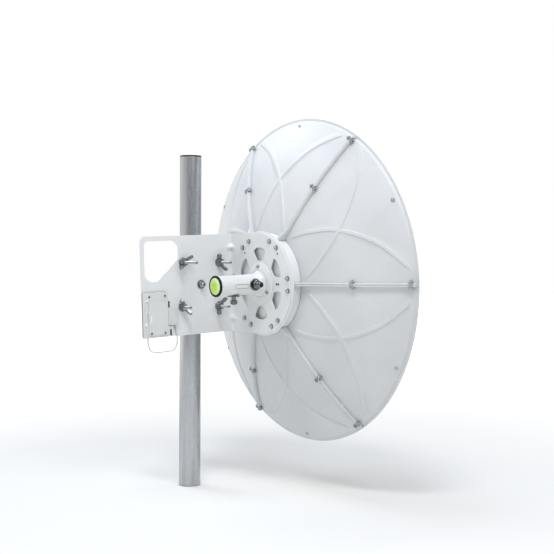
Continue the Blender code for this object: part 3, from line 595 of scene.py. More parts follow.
# Hub: pan behind the petals, round plate in front of them
hub = {
    "panSheet": 0.0025, "lip": 0.1425, "wall": 0.1366, "hole": 0.0219,
    "floorRear": 0.1195, "floorEdge": 0.103,  # the pan's floor, painted near white as painted light, shows through the back plate's windows
    "plateRows": [0.023, 0.04, 0.06, 0.08, 0.098, 0.114, 0.129, 0.1395],
    "boltRadius": 0.1236, "boltSpread": 7.8, "flats": 0.01, "head": 0.0046, "washer": (0.0067, 0.0013),
    "nutRadius": 0.1335, "nutFlats": 0.0086, "nutHigh": 0.0042,
}
rear = backY + layout["sheet"] + gap
lip, wall, hole, panSheet = hub["lip"], hub["wall"], hub["hole"], hub["panSheet"]
floorRear, floorEdge = hub["floorRear"], hub["floorEdge"]
inner, front, floorFront = wall - panSheet, rear + panSheet, floorRear + panSheet
disc = floorEdge - 0.0025  # the floor's own radius
pan = onAxis([(disc + 0.0003, floorRear), (floorEdge, floorRear), (floorEdge + 0.002, rear), (lip, rear),
    (lip, front), (wall - 0.0003, front), (wall, 0.137), (wall - 0.0006, 0.1392), (0.129, 0.1382),
    (0.129, 0.1358), (inner, 0.1362), (inner, front), (floorEdge + 0.0034, front),
    (floorEdge + 0.0014, floorFront), (disc + 0.0003, floorFront)], 180, 0.0008)
addPiece("hub_pan_sheet", pan, paintedLightCoat, ["hub_pan"])
panFloor = onAxis([(hole, floorRear), (disc, floorRear), (disc, floorFront), (hole, floorFront)], 180, 0.0003)
# The pan's floor is painted near white: painted light where it shows through the windows.
addPiece("pan_floor_sheet", panFloor, paintedLightWhite, ["pan_floor"])
rows = [(r, bowl(r) + gap) for r in hub["plateRows"]]
rows += [(r, y + panSheet) for r, y in reversed(rows)]
addPiece("centre_plate_sheet", onAxis(rows, 180, 0.0006), powderCoat, ["centre_plate"])

# Hub screws: pairs beside each seam, heads on the back plate; their nuts show on the centre plate's rim
heads, washers, nuts = bmesh.new(), bmesh.new(), bmesh.new()
seat = hub["washer"][1] - 0.0001
nutRadius = hub["nutRadius"]
for number in range(12):
    a = radians(60 * (number // 2) + hub["boltSpread"] * (1 if number % 2 else -1))
    base = around(hub["boltRadius"], backY, a)
    washer(washers, *hub["washer"], base, (0, -1, 0), 48)
    hexBlock(heads, base, (0, -1, 0), hub["flats"], seat, seat + hub["head"], spin=0.5 + 1.9 * number)
    base = around(nutRadius, bowl(nutRadius) + gap + 0.0023, a)
    hexBlock(nuts, base, (0, 1, 0), hub["nutFlats"], 0, hub["nutHigh"], spin=0.2 * number)
addPiece("hub_screws", heads, brightZinc)
# The washers are darker than the bright heads on them: painted shade round each head.
addPiece("hub_washers_painted_shade", washers, darkSteel)
addPiece("hub_nuts", nuts, brightZinc)
print("hub closed")

# Bracket: one sheet, cut flat and then folded into a side plate and a round back plate
bracket = {
    "half": 0.1364, "rearEdge": -0.191, "corners": (0.006, 0.014), "bend": 0.0045, "boss": 0.0235,
    "sideWindow": [(-0.179, 0.1235), (-0.088, 0.1235), (-0.071, 0.108), (-0.071, 0.074), (-0.141, 0.0135),
                   (-0.163, 0.0135), (-0.179, 0.03)],
    "sideRadii": [0.013, 0.013, 0.013, 0.016, 0.012, 0.012, 0.012],
    "spokeWindow": [  # radius, degrees from the middle of the window
        (0.064, -11.0), (0.064, 11.0), (0.0955, 19.0), (0.0985, 6.5), (0.0985, -6.5), (0.0955, -19.0)],
    "spokeRadii": [0.006, 0.006, 0.008, 0.02, 0.02, 0.008],
    "clampHalf": (0.06, 0.061), "jawBolts": (0.045, 0.031), "boltHole": 0.0048, "pivotHole": 0.0053,
    "slots": [(-0.10575, -0.049), (-0.10575, -0.124)], "slotSize": (0.0055, 0.018),
    "pinHoles": [(0.0735, 0), (0.0812, 0), (0.115, 45), (0.107, 129)], "pinHole": 0.002,
    # pressed gussets that stiffen the fold above and below: height, half length, legs, fineness of the mesh
    "dart": {"at": 0.099, "half": 0.012, "leg": 0.015, "inside": 0.36, "depth": 0.72, "fine": 0.0015},
}
sheet, dart = layout["sheet"], bracket["dart"]
arcLength = (bracket["bend"] + sheet / 2) * pi / 2
foldStart = backY - bracket["bend"] - bracket["rearEdge"]  # distances along the flat sheet
foldEnd = foldStart + arcLength
foldMiddle = (foldStart + foldEnd) / 2


def onSide(y):
    return y - bracket["rearEdge"]


def onBack(x):
    return foldEnd + x - sideX - bracket["bend"]


def folded(s, z, lift):
    # where a point of the flat sheet goes once folded; lift is 0 on the open side, a sheet's thickness behind
    cx, cy = sideX + bracket["bend"], backY - bracket["bend"]
    if s <= foldStart:
        point = Vector((sideX - lift, bracket["rearEdge"] + s, z))
    elif s >= foldEnd:
        point = Vector((cx + s - foldEnd, backY + lift, z))
    else:
        a, reach = (s - foldStart) / arcLength * pi / 2, bracket["bend"] + lift
        point = Vector((cx - reach * cos(a), cy + reach * sin(a), z))
    across = max(abs(s - foldMiddle) - arcLength * dart["inside"], 0)
    ridge = ease(1 - abs(abs(z) - dart["at"]) / dart["half"]) * max(0, dart["leg"] - across) / sqrt(2)
    return point + Vector((1, -1, 0)) * (ridge * dart["depth"] / sqrt(2))


def tiltedPlace(y, z):
    # the clamp hangs level while the bracket tips: where a level point falls on the tipped plate
    a = radians(layout["upTilt"])
    return y * cos(a) + z * sin(a), z * cos(a) - y * sin(a)


half, hubAt = bracket["half"], onBack(axisX)
outline = rounded([(0, -half), (0, half), (hubAt, half), (hubAt, -half)], [*bracket["corners"], 0, 0], 8)[:-1]
turns = [radians(87.5 - 2.5 * k) for k in range(70)]
outline += [(hubAt + half * cos(a), half * sin(a)) for a in turns]
outline.append((hubAt, -half))
holes = [rounded([(onSide(y), z) for y, z in bracket["sideWindow"]], bracket["sideRadii"], 8)]
for number in range(6):
    corners = [(radius, radians(30 + 60 * number + side)) for radius, side in bracket["spokeWindow"]]
    corners = [(hubAt + r * cos(a), r * sin(a)) for r, a in corners]
    holes.append(rounded(corners, bracket["spokeRadii"], 7))
holes.append(circle(bracket["boss"], hubAt, 0, 64))
clampY, clampZ = bracket["clampHalf"]
for y, z in [tiltedPlace(y, z) for y in (-clampY, clampY) for z in (-clampZ, clampZ)]:
    holes.append(circle(bracket["boltHole"], onSide(y), z, 28))
holes.append(circle(bracket["pivotHole"], onSide(0), 0, 28))
slotWide, slotHigh = bracket["slotSize"]
for y, z in bracket["slots"]:
    holes.append(oblong(onSide(y), z, slotWide, slotHigh, slotWide * 0.47, 6))
for radius, turn in bracket["pinHoles"]:
    a = radians(turn)
    holes.append(circle(bracket["pinHole"], hubAt + radius * cos(a), radius * sin(a), 14))

flat = bmesh.new()
fillLoops(flat, [[(s, z, 0) for s, z in loop] for loop in (outline, *holes)])
cuts = [((foldMiddle + step * dart["fine"], 0, 0), (1, 0, 0)) for step in range(-12, 13)]
for side in (-1, 1):
    cuts += [((0, side * dart["at"] + step * dart["fine"], 0), (0, 1, 0)) for step in range(-9, 10)]
for point, normal in cuts:
    bmesh.ops.bisect_plane(flat, geom=flat.verts[:] + flat.edges[:] + flat.faces[:], dist=1e-7,
        plane_co=point, plane_no=normal)
bmesh.ops.triangulate(flat, faces=[face for face in flat.faces if len(face.verts) > 4])
rims = [edge for edge in flat.edges if len(edge.link_faces) == 1]
behind = {vert: flat.verts.new((vert.co.x, vert.co.y, 1)) for vert in flat.verts[:]}
for face in flat.faces[:]:
    flat.faces.new([behind[vert] for vert in reversed(face.verts)])
for edge in rims:
    one, two = edge.verts
    flat.faces.new((one, two, behind[two], behind[one]))
for vert in flat.verts:
    vert.co = folded(vert.co.x, vert.co.y, vert.co.z * sheet)
addPiece("bracket_sheet", flat, paintedLightCoat, ["side_plate", "back_plate"],
    bevel=0.0005, sharp=40)

# Black button screws in the back plate's small holes and black rubber in the side plate's slots: painted
# shade, dark fills that make the holes and slots read dark.
paintedShadeScrews, paintedShadeLiners = bmesh.new(), bmesh.new()
for radius, turn in bracket["pinHoles"]:
    wide = 0.0029 if turn == 0 else 0.0024
    turned(paintedShadeScrews, [(0, -0.0015), (0.0016, -0.0015), (0.0016, 0.0001), (wide, 0.0001), (wide * 0.85, 0.0012),
        (wide * 0.5, 0.0017), (wide * 0.4, 0.0006), (0, 0.0006)],
        around(radius, backY, radians(turn)), (0, -1, 0), 28, 0.0002)
addPiece("pin_screws_painted_shade", paintedShadeScrews, paintedShadeBlack)
slack, low = 0.0002, sideX - 0.0026
for (y, z), top in zip(bracket["slots"], (-0.0006, 0.006)):  # the lower one reaches through the panel
    wide, high = slotWide - slack, slotHigh - slack
    sidePlate(paintedShadeLiners, oblong(y, z, wide, high, wide * 0.47, 6), low, sideX - low + top)
# The rubber lining is painted shade: a dark fill standing in for the shade seen through the slots.
addPiece("slot_liners_painted_shade", paintedShadeLiners, rubber)
print("bracket folded")

# Pole: tube with a plug in its foot and a cap on top
pole = {"radius": 0.03, "wall": 0.003, "length": 0.9205}
outer, length = pole["radius"], pole["length"]
inner = outer - pole["wall"]
plug = inner - gap
poleParts = [  # piece, material, slot, node it stands for, softened corners, profile
    ("pole_tube", galvanised, "mast_tube", "mast_tube", 0.0006, [
        (inner, 0.0005), (outer, 0.0005), (outer, length - 0.004), (inner, length - 0.004)]),
    ("pole_plug", galvanised, "mast_plug", "mast_base_plug", 0, [
        (0, 0), (outer - 0.0004, 0), (outer, 0.0001), (outer, 0.0002), (plug, 0.0002), (plug, 0.012),
        (0, 0.012)]),
    ("pole_cap", rubber, "mast_cap", "mast_top_cap", 0.0004, [
        (0, length - 0.014), (plug, length - 0.014), (plug, length - 0.0037), (outer, length - 0.0037),
        (outer, length - 0.0012), (outer - 0.0014, length - 0.0002), (outer - 0.006, length), (0, length)]),
]
for name, material, slot, node, soft, profile in poleParts:
    part = turned(bmesh.new(), profile, (0, 0, 0), (0, 0, 1), 128, soft)
    addPiece(name, part, material, [node], "mast", poleFrame)
print("pole stands")

# Clamp: a front block and two rear jaws, cast with V faces that grip the pole
clamp = {
    "hole": 0.0043, "reach": 0.12, "pivotReach": (0.046, 0.066),  # bolt holes and how far they are drilled
    "block": {
        "high": 0.07, "shoulder": 0.0365, "radii": [0.001, 0.003, 0.003, 0.002, 0.001, 0.0006],
        "half": [(0.0497, -0.0665), (0.0417, -0.0665), (0.0417, -0.0402)]},
    "jaw": {
        "high": 0.014, "shoulder": 0.034,
        "radii": [0.006, 0.004, 0.001, 0.003, 0.003, 0.001, 0.001, 0.001, 0.0006],
        "half": [(0.0475, -0.01), (0.024, -0.036), (0.016, -0.0366), (0.016, -0.053),
                 (0.006, -0.053), (0.006, -0.0362)]},
    # cored hollows between the ribs of the block's rear face: middles, size, depth
    "pocketAt": (0.0415, 0.054), "pocketSize": (0.018, 0.022), "pocketFrom": 0.008, "pocketDeep": 0.034,
}
notch = outer * sqrt(2) + gap * 1.5
jawY, jawZ = bracket["jawBolts"]


def vCasting(facts, z, sign):
    # a V casting from one half of its plan, about one height; sign -1 turns it to the far side of the pole
    half = facts["half"] + [(notch - 0.03, -facts["shoulder"]), (notch - 0.028, -0.028), (notch, 0.0)]
    points = [(sign * x, y) for x, y in half + [(x, -y) for x, y in reversed(half[:-1])]]
    radii, high = facts["radii"], facts["high"]
    return levelPlate(bmesh.new(), rounded(points, radii + radii[-2::-1], 4), z - high, 2 * high)


def drilled(mesh, bores):
    # holes along X: half spread, heights, radius, from and to
    tool = bmesh.new()
    for halfY, heights, radius, low, high in bores:
        for y in sorted({-halfY, halfY}):
            for z in heights:
                sidePlate(tool, circle(radius, y, z, 24), low, high - low)
    return carve(mesh, tool)


hole, reach = clamp["hole"], clamp["reach"]
pocketY, pocketZ = clamp["pocketAt"]
pockets = bmesh.new()
for y in (-pocketY, pocketY):
    for z in (-pocketZ, pocketZ):
        outline = oblong(y, z, *clamp["pocketSize"], 0.003)
        sidePlate(pockets, outline, clamp["pocketFrom"], clamp["pocketDeep"])
block = drilled(carve(vCasting(clamp["block"], 0, 1), pockets), [
    (clampY, (-clampZ, clampZ), hole, -reach, reach), (jawY, (-jawZ, jawZ), hole, -reach, reach),
    (0, (0,), bracket["pivotHole"], *clamp["pivotReach"])])
addPiece("front_clamp_casting", block, castAluminium, ["front_clamp"], place=clampFrame,
    bevel=0.0007)
for label, z in (("upper", jawZ), ("lower", -jawZ)):
    jaw = drilled(vCasting(clamp["jaw"], z, -1), [(jawY, (z,), hole, -reach, reach)])
    addPiece("rear_jaw_casting_" + label, jaw, castAluminium, ["rear_jaw_" + label],
        place=clampFrame, bevel=0.0009)
print("clamp cast")

# Studs with wing nuts, and the short bolts of the rear jaws
clampBolts = {
    "shank": 0.004, "pitch": 0.00125, "depth": 0.0006, "head": 0.0075,
    "corners": [  # side along Y, side along Z, end of the stud, turn of the wings
        ("upper_rear", -1, 1, 0.125, 42), ("upper_front", 1, 1, 0.113, 118),
        ("lower_rear", -1, -1, 0.097, 128), ("lower_front", 1, -1, 0.106, 62)],
    "nut": [(0, 0.0008), (0.0128, 0.0008), (0.0128, 0.0024), (0.0105, 0.0034), (0.0088, 0.015), (0, 0.015)],
    "wing": [(-0.012, 0.003), (-0.0245, 0.0105), (-0.0275, 0.019), (-0.0248, 0.0255), (-0.0185, 0.0255),
             (-0.0088, 0.0132)],
    "wingRadii": [0.004, 0.006, 0.005, 0.0035, 0.004, 0.003], "wingThick": 0.0042,
}
shank, wide, thick = clampBolts["shank"], clampBolts["head"], clampBolts["wingThick"]
root = shank - clampBolts["depth"]
wing = clampBolts["wing"] + [(-a, b) for a, b in reversed(clampBolts["wing"])]
wing = rounded(wing, clampBolts["wingRadii"] + clampBolts["wingRadii"][::-1], 4)
for label, sideY, sideZ, end, spin in clampBolts["corners"]:
    place = Vector((0, sideY * clampY, sideZ * clampZ))
    stud = turned(bmesh.new(), [(0, 0.0384), (wide - 0.0007, 0.0384), (wide, 0.039), (wide, 0.0414),
        (shank, 0.0414), (shank, 0.052), (root, 0.0526), (root, end - 0.0012), (root - 0.001, end),
        (0, end)], place, (1, 0, 0), 40, 0.0003)
    threadRidge(stud, place, (1, 0, 0), shank, clampBolts["depth"], clampBolts["pitch"], 0.053, end - 0.0014)
    addPiece("clamp_stud_" + label, stud, darkSteel, ["clamp_bolt_" + label], place=clampFrame)
    bolt = turned(bmesh.new(), [(0, -0.0225), (wide * 0.7, -0.0225), (wide * 0.95, -0.0205), (wide, -0.018),
        (wide, -0.0163), (shank, -0.0163), (shank, 0.0455), (shank - 0.0008, 0.0465), (0, 0.0465)],
        (0, sideY * jawY, sideZ * jawZ), (1, 0, 0), 40, 0.0003)
    addPiece("jaw_bolt_shank_" + label, bolt, darkSteel, ["jaw_bolt_" + label],
        place=clampFrame)
    place.x = sideX
    nut = turned(bmesh.new(), clampBolts["nut"], place, (1, 0, 0), 48, 0.0006)
    u = Vector((0, cos(radians(spin)), sin(radians(spin))))
    across = u.cross(Vector((1, 0, 0)))
    wings = plate(bmesh.new(), wing, place - across * thick / 2, u, (1, 0, 0), thick)
    hole = sidePlate(bmesh.new(), circle(shank + 0.0003, place.y, place.z, 24), sideX - 0.01, 0.05)
    addPiece("wing_nut_casting_" + label, carve(carve(nut, wings, "UNION"), hole), darkSteel,
        ["wing_nut_" + label], place=clampFrame, bevel=0.001, sharp=35)

pivot = {"flats": 0.0172, "washer": 0.0122, "stud": 0.0048, "nutTop": 0.0104, "end": 0.019,
    "thread": (0.0006, 0.0015)}
wide, thin = pivot["washer"], pivot["stud"] - pivot["thread"][0]
nutTop, end = sideX + pivot["nutTop"], sideX + pivot["end"]
washerLow, washerTop = sideX + 0.0003, sideX + 0.0024
bolt = turned(bmesh.new(), [(0, 0.0462), (0.005, 0.0462), (0.005, washerLow), (wide, washerLow),
    (wide, washerTop), (thin, washerTop), (thin, end - 0.001), (thin - 0.001, end), (0, end)], (0, 0, 0),
    (1, 0, 0), 48, 0.0003)
hexBlock(bolt, (0, 0, 0), (1, 0, 0), pivot["flats"], washerTop - 0.0001, nutTop, spin=0.25)
threadRidge(bolt, (0, 0, 0), (1, 0, 0), pivot["stud"], *pivot["thread"], nutTop + 0.0004, end - 0.0012)
addPiece("pivot_nut", bolt, darkSteel, ["pivot_bolt"])
print("clamp bolted")

# Feed: housing behind the dish, its sight window, sockets, and the tube that reaches to the small reflector
feed = {
    "radius": 0.0275, "rear": -0.044, "front": 0.1003, "flare": 0.036, "tip": vertexY + focal,
    "flarePath": [(0.0275, 0.085), (0.0288, 0.09), (0.0315, 0.0942), (0.036, 0.0982)],
    "labelAt": (0.0266, -0.003), "labelSize": (0.044, 0.0125), "moat": 0.0018,  # bare seat in a thin groove
    "ring": (0.0228, 0.0287), "ringDepth": 0.0048,
    "flange": [(0.0363, 0.0985), (0.047, 0.1012), (0.056, 0.1036), (0.057, 0.1046)],
    "flangeScrews": [(0.046, 90.9), (0.0436, -31.7), (0.045, 210)],  # radius, degrees
    "screwFlats": 0.008, "screwWasher": 0.0058,
}
r, front, rearY = feed["radius"], feed["front"], feed["rear"]
ringFront = rearY + feed["ringDepth"]
bodyRear = ringFront + gap
housing = onAxis([(0, bodyRear), (r - 0.0013, bodyRear), (r, bodyRear + 0.0013), (r, -0.021),
    (r - 0.0003, -0.0207), (r - 0.0003, -0.02), (r, -0.0197), *feed["flarePath"], (feed["flare"], front),
    (0, front)], 144, 0.0006)
grooves = []
for inward in (0, feed["moat"]):
    wide, high = (size - 2 * inward for size in feed["labelSize"])
    grooves.append(sidePlate(bmesh.new(), oblong(*feed["labelAt"], wide, high, 0.0014, 6),
        axisX + r - 0.0036 - inward, 0.012))
housing = carve(housing, carve(*grooves))
addPiece("feed_housing_shell", housing, glossAbs, ["feed_housing"], bevel=0.0003)

low, wide = feed["ring"]
ring = onAxis([(low, ringFront), (wide, ringFront), (wide, rearY + 0.0014), (wide - 0.0014, rearY),
    (low + 0.0008, rearY), (low, rearY + 0.0006)], 144, 0.0005)
addPiece("sight_gasket", ring, rubber, ["sight_ring"])
wide = sight["radius"]
disc = onAxis([(0, ringFront), (wide, ringFront), (wide, rearY + 0.0002), (wide - 0.0012, rearY - 0.0005),
    (wide * 0.8, rearY - 0.0012), (wide * 0.4, rearY - 0.0015), (0, rearY - 0.0016)], 144, 0.0004)
dimples = bmesh.new()
for x, z in sight["dimples"]:
    washer(dimples, 0.001, 0.0042, (axisX + x, rearY - 0.0028, z), (0, 1, 0), 16, 0)
addPiece("sight_lens", carve(disc, dimples), limeAcrylic, ["sight_disc"])

rim, rimFront, seat = feed["flange"], backY - gap, front + gap
flange = onAxis([*rim, (rim[-1][0], rimFront), (0, rimFront), (0, seat), (rim[0][0], seat)], 160, 0.0008)
addPiece("feed_flange_ring", flange, paintedLightCoat, ["feed_flange"])
heads, washers = bmesh.new(), bmesh.new()
for radius, turn in feed["flangeScrews"]:
    base = around(radius, 0.1012, radians(turn))
    washer(washers, feed["screwWasher"], 0.001, base, (0, -1, 0))
    hexBlock(heads, base, (0, -1, 0), feed["screwFlats"], 0.0009, 0.0046, spin=0.4 + radius)
addPiece("flange_screws", heads, stainless)
addPiece("flange_washers", washers, brightZinc)

# Sockets: panel flange, hex collar, threaded barrel, with an insulator and a pin down the mouth
sockets = {
    "side_socket": {"base": (axisX + 0.0278, 0.0678, 0), "way": (1, 0, 0), "flange": 0.0165, "neck": 0.008,
                    "collar": (0.0128, 0.0065, 0.0145), "mouth": 0.0052, "end": 0.0292},
    "lower_socket": {"base": (axisX, 0.0163, -0.0278), "way": (0, 0, -1), "flange": 0.0166, "neck": 0.006,
                     "collar": (0.0092, 0.012, 0.0228), "mouth": 0.0044, "end": 0.0245},
}
thread, deep = 0.0005, 0.009  # depth of the screw thread and of the mouth
for name, facts in sockets.items():
    base, way, end, barrel, bore = (facts[key] for key in ("base", "way", "end", "neck", "mouth"))
    wide, (collar, low, high), root = facts["flange"], facts["collar"], barrel - thread
    body = turned(bmesh.new(), [(0, 0), (wide, 0), (wide, 0.0022), (wide - 0.0006, 0.0028),
        (barrel + 0.0015, 0.0028), (barrel, 0.0034), (barrel, high), (root, high + 0.0004),
        (root, end - 0.0006), (root - 0.0004, end), (bore + 0.0004, end), (bore, end - 0.0006),
        (bore, end - deep), (0, end - deep)], base, way, 72, 0.0003)
    if name == "side_socket":
        hexBlock(body, base, way, collar * sqrt(3), low, high, spin=0.4, bore=barrel - 0.001)
    else:  # knurled collar: fine flutes all round
        turned(body, [(barrel - 0.001, low), (collar - 0.0004, low), (collar, low + 0.001),
            (collar, high - 0.001), (collar - 0.0004, high), (barrel - 0.001, high)], base, way, 144, 0.0004,
            lambda a: 1 - 0.016 * (0.5 - 0.5 * cos(28 * a)))
    threadRidge(body, base, way, barrel, thread, 0.0011, high + 0.0008, end - 0.0008, 28)
    addPiece(name + "_body", body, nickel, [name])
    snug, floorAt = bore - 0.0002, end - deep + 0.0002
    core = turned(bmesh.new(), [(0, floorAt), (snug, floorAt), (snug, end - 0.0035), (0.0024, end - 0.0035),
        (0.0024, end - 0.006), (0, end - 0.006)], base, way, 48, 0.0002)
    addPiece(name + "_insulator", core, phenolic)
    pin = turned(bmesh.new(), [(0, end - 0.0058), (0.0008, end - 0.0058), (0.0008, end - 0.0024),
        (0.0004, end - 0.0016), (0, end - 0.0014)], base, way, 24, 0.0002)
    addPiece(name + "_pin", pin, goldPin)

# Feed front: tube through the hub, its collar, the stepped cone and the small reflector
feedFront = {"tube": 0.0215, "groove": 0.0004, "grooves": (0.2, 0.38), "coneRear": 0.0457,
    "coneFront": 0.012, "coneStart": 0.024, "step": (0.0044, 0.0067), "coneEnd": 0.046}
tip, wide = feed["tip"], feedFront["tube"]
rings = []
for y in feedFront["grooves"]:
    low = wide - feedFront["groove"]
    rings += [(wide, y), (low, y + 0.0003), (low, y + 0.0011), (wide, y + 0.0014)]
tube = onAxis([(0, backY + 0.0006), (0.023, backY + 0.0006), (0.023, backY + 0.0034), (wide, backY + 0.004),
    *rings, (wide, tip - 0.046), (0.019, tip - 0.046), (0.019, backY + 0.01), (0, backY + 0.01)], 128, 0.0004)
addPiece("feed_tube_barrel", tube, anodised, ["feed_tube"])
collar = onAxis([(0.0218, 0.1338), (0.04, 0.1352), (0.04, 0.1385), (0.0385, 0.1395), (0.027, 0.142),
    (0.0258, 0.145), (0.0218, 0.145)], 128, 0.0005)
addPiece("feed_collar_ring", collar, powderCoat, ["feed_collar"])
coneRear, coneFront = tip - feedFront["coneRear"], tip - feedFront["coneFront"]
outward, forward = feedFront["step"]
steps = [(0.0187, coneRear), (feedFront["coneStart"], coneRear)]
for k in range(4):  # the steps steer the beam on to the small reflector
    far, level = feedFront["coneStart"] + outward * (k + 1), coneRear + forward * (k + 1)
    steps += [(far - 0.001, level - 0.0004), (far, level)]
cone = onAxis([(0, tip - 0.066), (0.008, tip - 0.066), (0.0187, tip - 0.054), *steps,
    (feedFront["coneEnd"], coneFront), (0, coneFront)], 128, 0.0004)
addPiece("feed_cone_block", cone, ptfe, ["feed_cone"])
mirror = onAxis([(0, tip - 0.0117), (0.053, tip - 0.0117), (0.054, tip - 0.0107), (0.054, tip - 0.004),
    (0.052, tip - 0.0006), (0.044, tip), (0.012, tip), (0.011, tip - 0.001), (0, tip - 0.001)], 144, 0.0005)
addPiece("sub_reflector_plate", mirror, anodised, ["sub_reflector"])
print("feed assembled")

# Adapter panel on the side plate, with its lid, clip, screws and the loop under it
adapter = {
    "panel": [(-0.1905, -0.135), (-0.099, -0.135), (-0.099, -0.1075), (-0.1125, -0.1075),
              (-0.1125, -0.0135), (-0.1905, -0.0135)],
    "panelRadii": [0.005, 0.004, 0.003, 0.003, 0.004, 0.004], "panelThick": 0.0065, "paintedShadowGasket": 0.0024,
    "lid": [(-0.1755, -0.129), (-0.1165, -0.129), (-0.1165, -0.038), (-0.1755, -0.038)],
    "lidThick": 0.0024,
    "screws": [(-0.1713, -0.0253, 0), (-0.1218, -0.0246, 0), (-0.1681, -0.1236, 1), (-0.1253, -0.1242, 1)],
    "screw": 0.0032, "dimple": 0.0014,
    "dimples": [(-0.1807, -0.0412), (-0.1866, -0.0619), (-0.1843, -0.1046), (-0.1828, -0.1152)],
    "pads": [  # moulded pads: middle, size, 1 where it is on the lid
        (-0.1836, -0.0985, 0.007, 0.0075, 0), (-0.1795, -0.0345, 0.008, 0.0045, 0),
        (-0.1679, -0.0865, 0.003, 0.02, 1)], "padHigh": 0.0009,
    "notch": (-0.1772, -0.08, 0.0016, 0.021),  # finger notch beside the lid
}
face = sideX + gap
panelTop = face + adapter["panelThick"]
lidTop = panelTop + gap + adapter["lidThick"]
outline, seat = rounded(adapter["panel"], adapter["panelRadii"], 8), adapter["paintedShadowGasket"]
outlet = oblong(*bracket["slots"][1], slotWide, slotHigh, 0.0026)
panel = sidePlate(bmesh.new(), outline, face + seat, adapter["panelThick"] - seat)
# The dark rubber sheet under the panel is painted shadow: a dark line along the panel's edges where its
# shadow falls.
paintedShadowGasket = sidePlate(bmesh.new(), outline, face, seat - 0.0002)
hollows = bmesh.new()
for y, z in adapter["dimples"]:
    sidePlate(hollows, circle(adapter["dimple"], y, z, 20), panelTop - 0.0024, 0.01)
sidePlate(hollows, oblong(*adapter["notch"], 0.0006), panelTop - 0.002, 0.01)
sidePlate(hollows, outlet, face - 0.01, 0.03)
addPiece("adapter_panel_block", carve(panel, hollows), coverCoat, ["adapter_panel"],
    bevel=0.001)
paintedShadowGasket = carve(paintedShadowGasket, sidePlate(bmesh.new(), outlet, face - 0.01, 0.03))
addPiece("adapter_painted_shadow_gasket", paintedShadowGasket, rubber, ["adapter_panel"])
lid = sidePlate(bmesh.new(), rounded(adapter["lid"], 0.003, 6), panelTop + gap, adapter["lidThick"])
addPiece("adapter_lid_plate", lid, coverCoat, ["adapter_lid"], bevel=0.0007)
pads, heads = bmesh.new(), bmesh.new()
for y, z, wide, high, onLid in adapter["pads"]:
    low = (lidTop if onLid else panelTop) - 0.0002
    sidePlate(pads, oblong(y, z, wide, high), low, adapter["padHigh"] + 0.0002)
# The pads are painted near white: painted highlights on the small bumps.
addPiece("adapter_pads", pads, paintedLightWhite, bevel=0.0003)
wide = adapter["screw"]
for y, z, onLid in adapter["screws"]:
    turned(heads, [(0, -0.0004), (wide, -0.0004), (wide, 0.0007), (wide * 0.8, 0.0016), (wide * 0.42, 0.0019),
        (wide * 0.4, 0.0006), (0, 0.0006)], (lidTop if onLid else panelTop, y, z), (1, 0, 0), 32, 0.0002)
addPiece("adapter_screws", heads, darkSteel)


def strap(path, width, thick, wide, soft):
    # a flat strip bent along a rounded path
    points, across = [Vector(p) for p in path], Vector(wide).normalized()
    for turn in range(soft):  # round the corners by cutting them
        cutPath = [points[0]]
        for a, b in zip(points, points[1:]):
            cutPath += [a.lerp(b, 0.25), a.lerp(b, 0.75)]
        points = cutPath + [points[-1]]
    mesh, sections = bmesh.new(), []
    chip = thick * 0.3
    ring = [(-1, -1), (1, -1), (1, 1), (-1, 1)]
    outline = []
    for (a, b), (c, d) in zip(ring, ring[1:] + ring[:1]):
        outline += [(a * width / 2 + (c - a) * chip / 2, b * thick / 2 + (d - b) * chip / 2),
            (c * width / 2 - (c - a) * chip / 2, d * thick / 2 - (d - b) * chip / 2)]
    for index, point in enumerate(points):
        along = (points[min(index + 1, len(points) - 1)] - points[max(index - 1, 0)]).normalized()
        out = along.cross(across).normalized()
        sections.append([mesh.verts.new(point + across * a + out * b) for a, b in outline])
    for one, two in zip(sections, sections[1:]):
        for k in range(8):
            mesh.faces.new((one[k - 1], one[k], two[k], two[k - 1]))
    mesh.faces.new(sections[0])
    mesh.faces.new(sections[-1])
    return mesh


clip = {
    "y": -0.112, "z": (-0.1045, -0.061), "radii": [0, 0.0008, 0.0014, 0.004, 0.001, 0],
    "profile": [(0, 0), (0.0066, 0), (0.008, 0.0014), (0.008, 0.024), (0.0062, 0.032), (0, 0.032)],
    "lip": (0.0036, 0.0012),  # rolled lip along its lower edge: height, and how far it stands out
}
low, high = clip["z"]
lipHigh, lipOut = clip["lip"]
blocks = []
for rise, bottom, top in ((0.0, low + lipHigh, high), (lipOut, low, low + lipHigh + 0.0002)):
    outline = [(face + x + (rise if x else 0), clip["y"] + y) for x, y in clip["profile"]]
    blocks.append(levelPlate(bmesh.new(), rounded(outline, clip["radii"], 5), bottom, top - bottom))
addPiece("cable_clip_block", carve(*blocks, "UNION"), polypropylene, ["cable_clip"],
    bevel=0.0006, sharp=40)
loop = {"width": 0.0064, "thick": 0.0032, "path": [(-0.1765, -0.1353), (-0.177, -0.15), (-0.1745, -0.164),
    (-0.166, -0.173), (-0.153, -0.176), (-0.109, -0.176), (-0.0965, -0.173), (-0.0875, -0.164),
    (-0.084, -0.15), (-0.0845, -0.135), (-0.0895, -0.1051)]}
loopX = face + loop["width"] / 2
addPiece("hand_loop_strap", strap([(loopX, y, z) for y, z in loop["path"]], loop["width"], loop["thick"],
    (1, 0, 0), 3), polypropylene, ["hand_loop"], sharp=60)
print("adapter fitted")

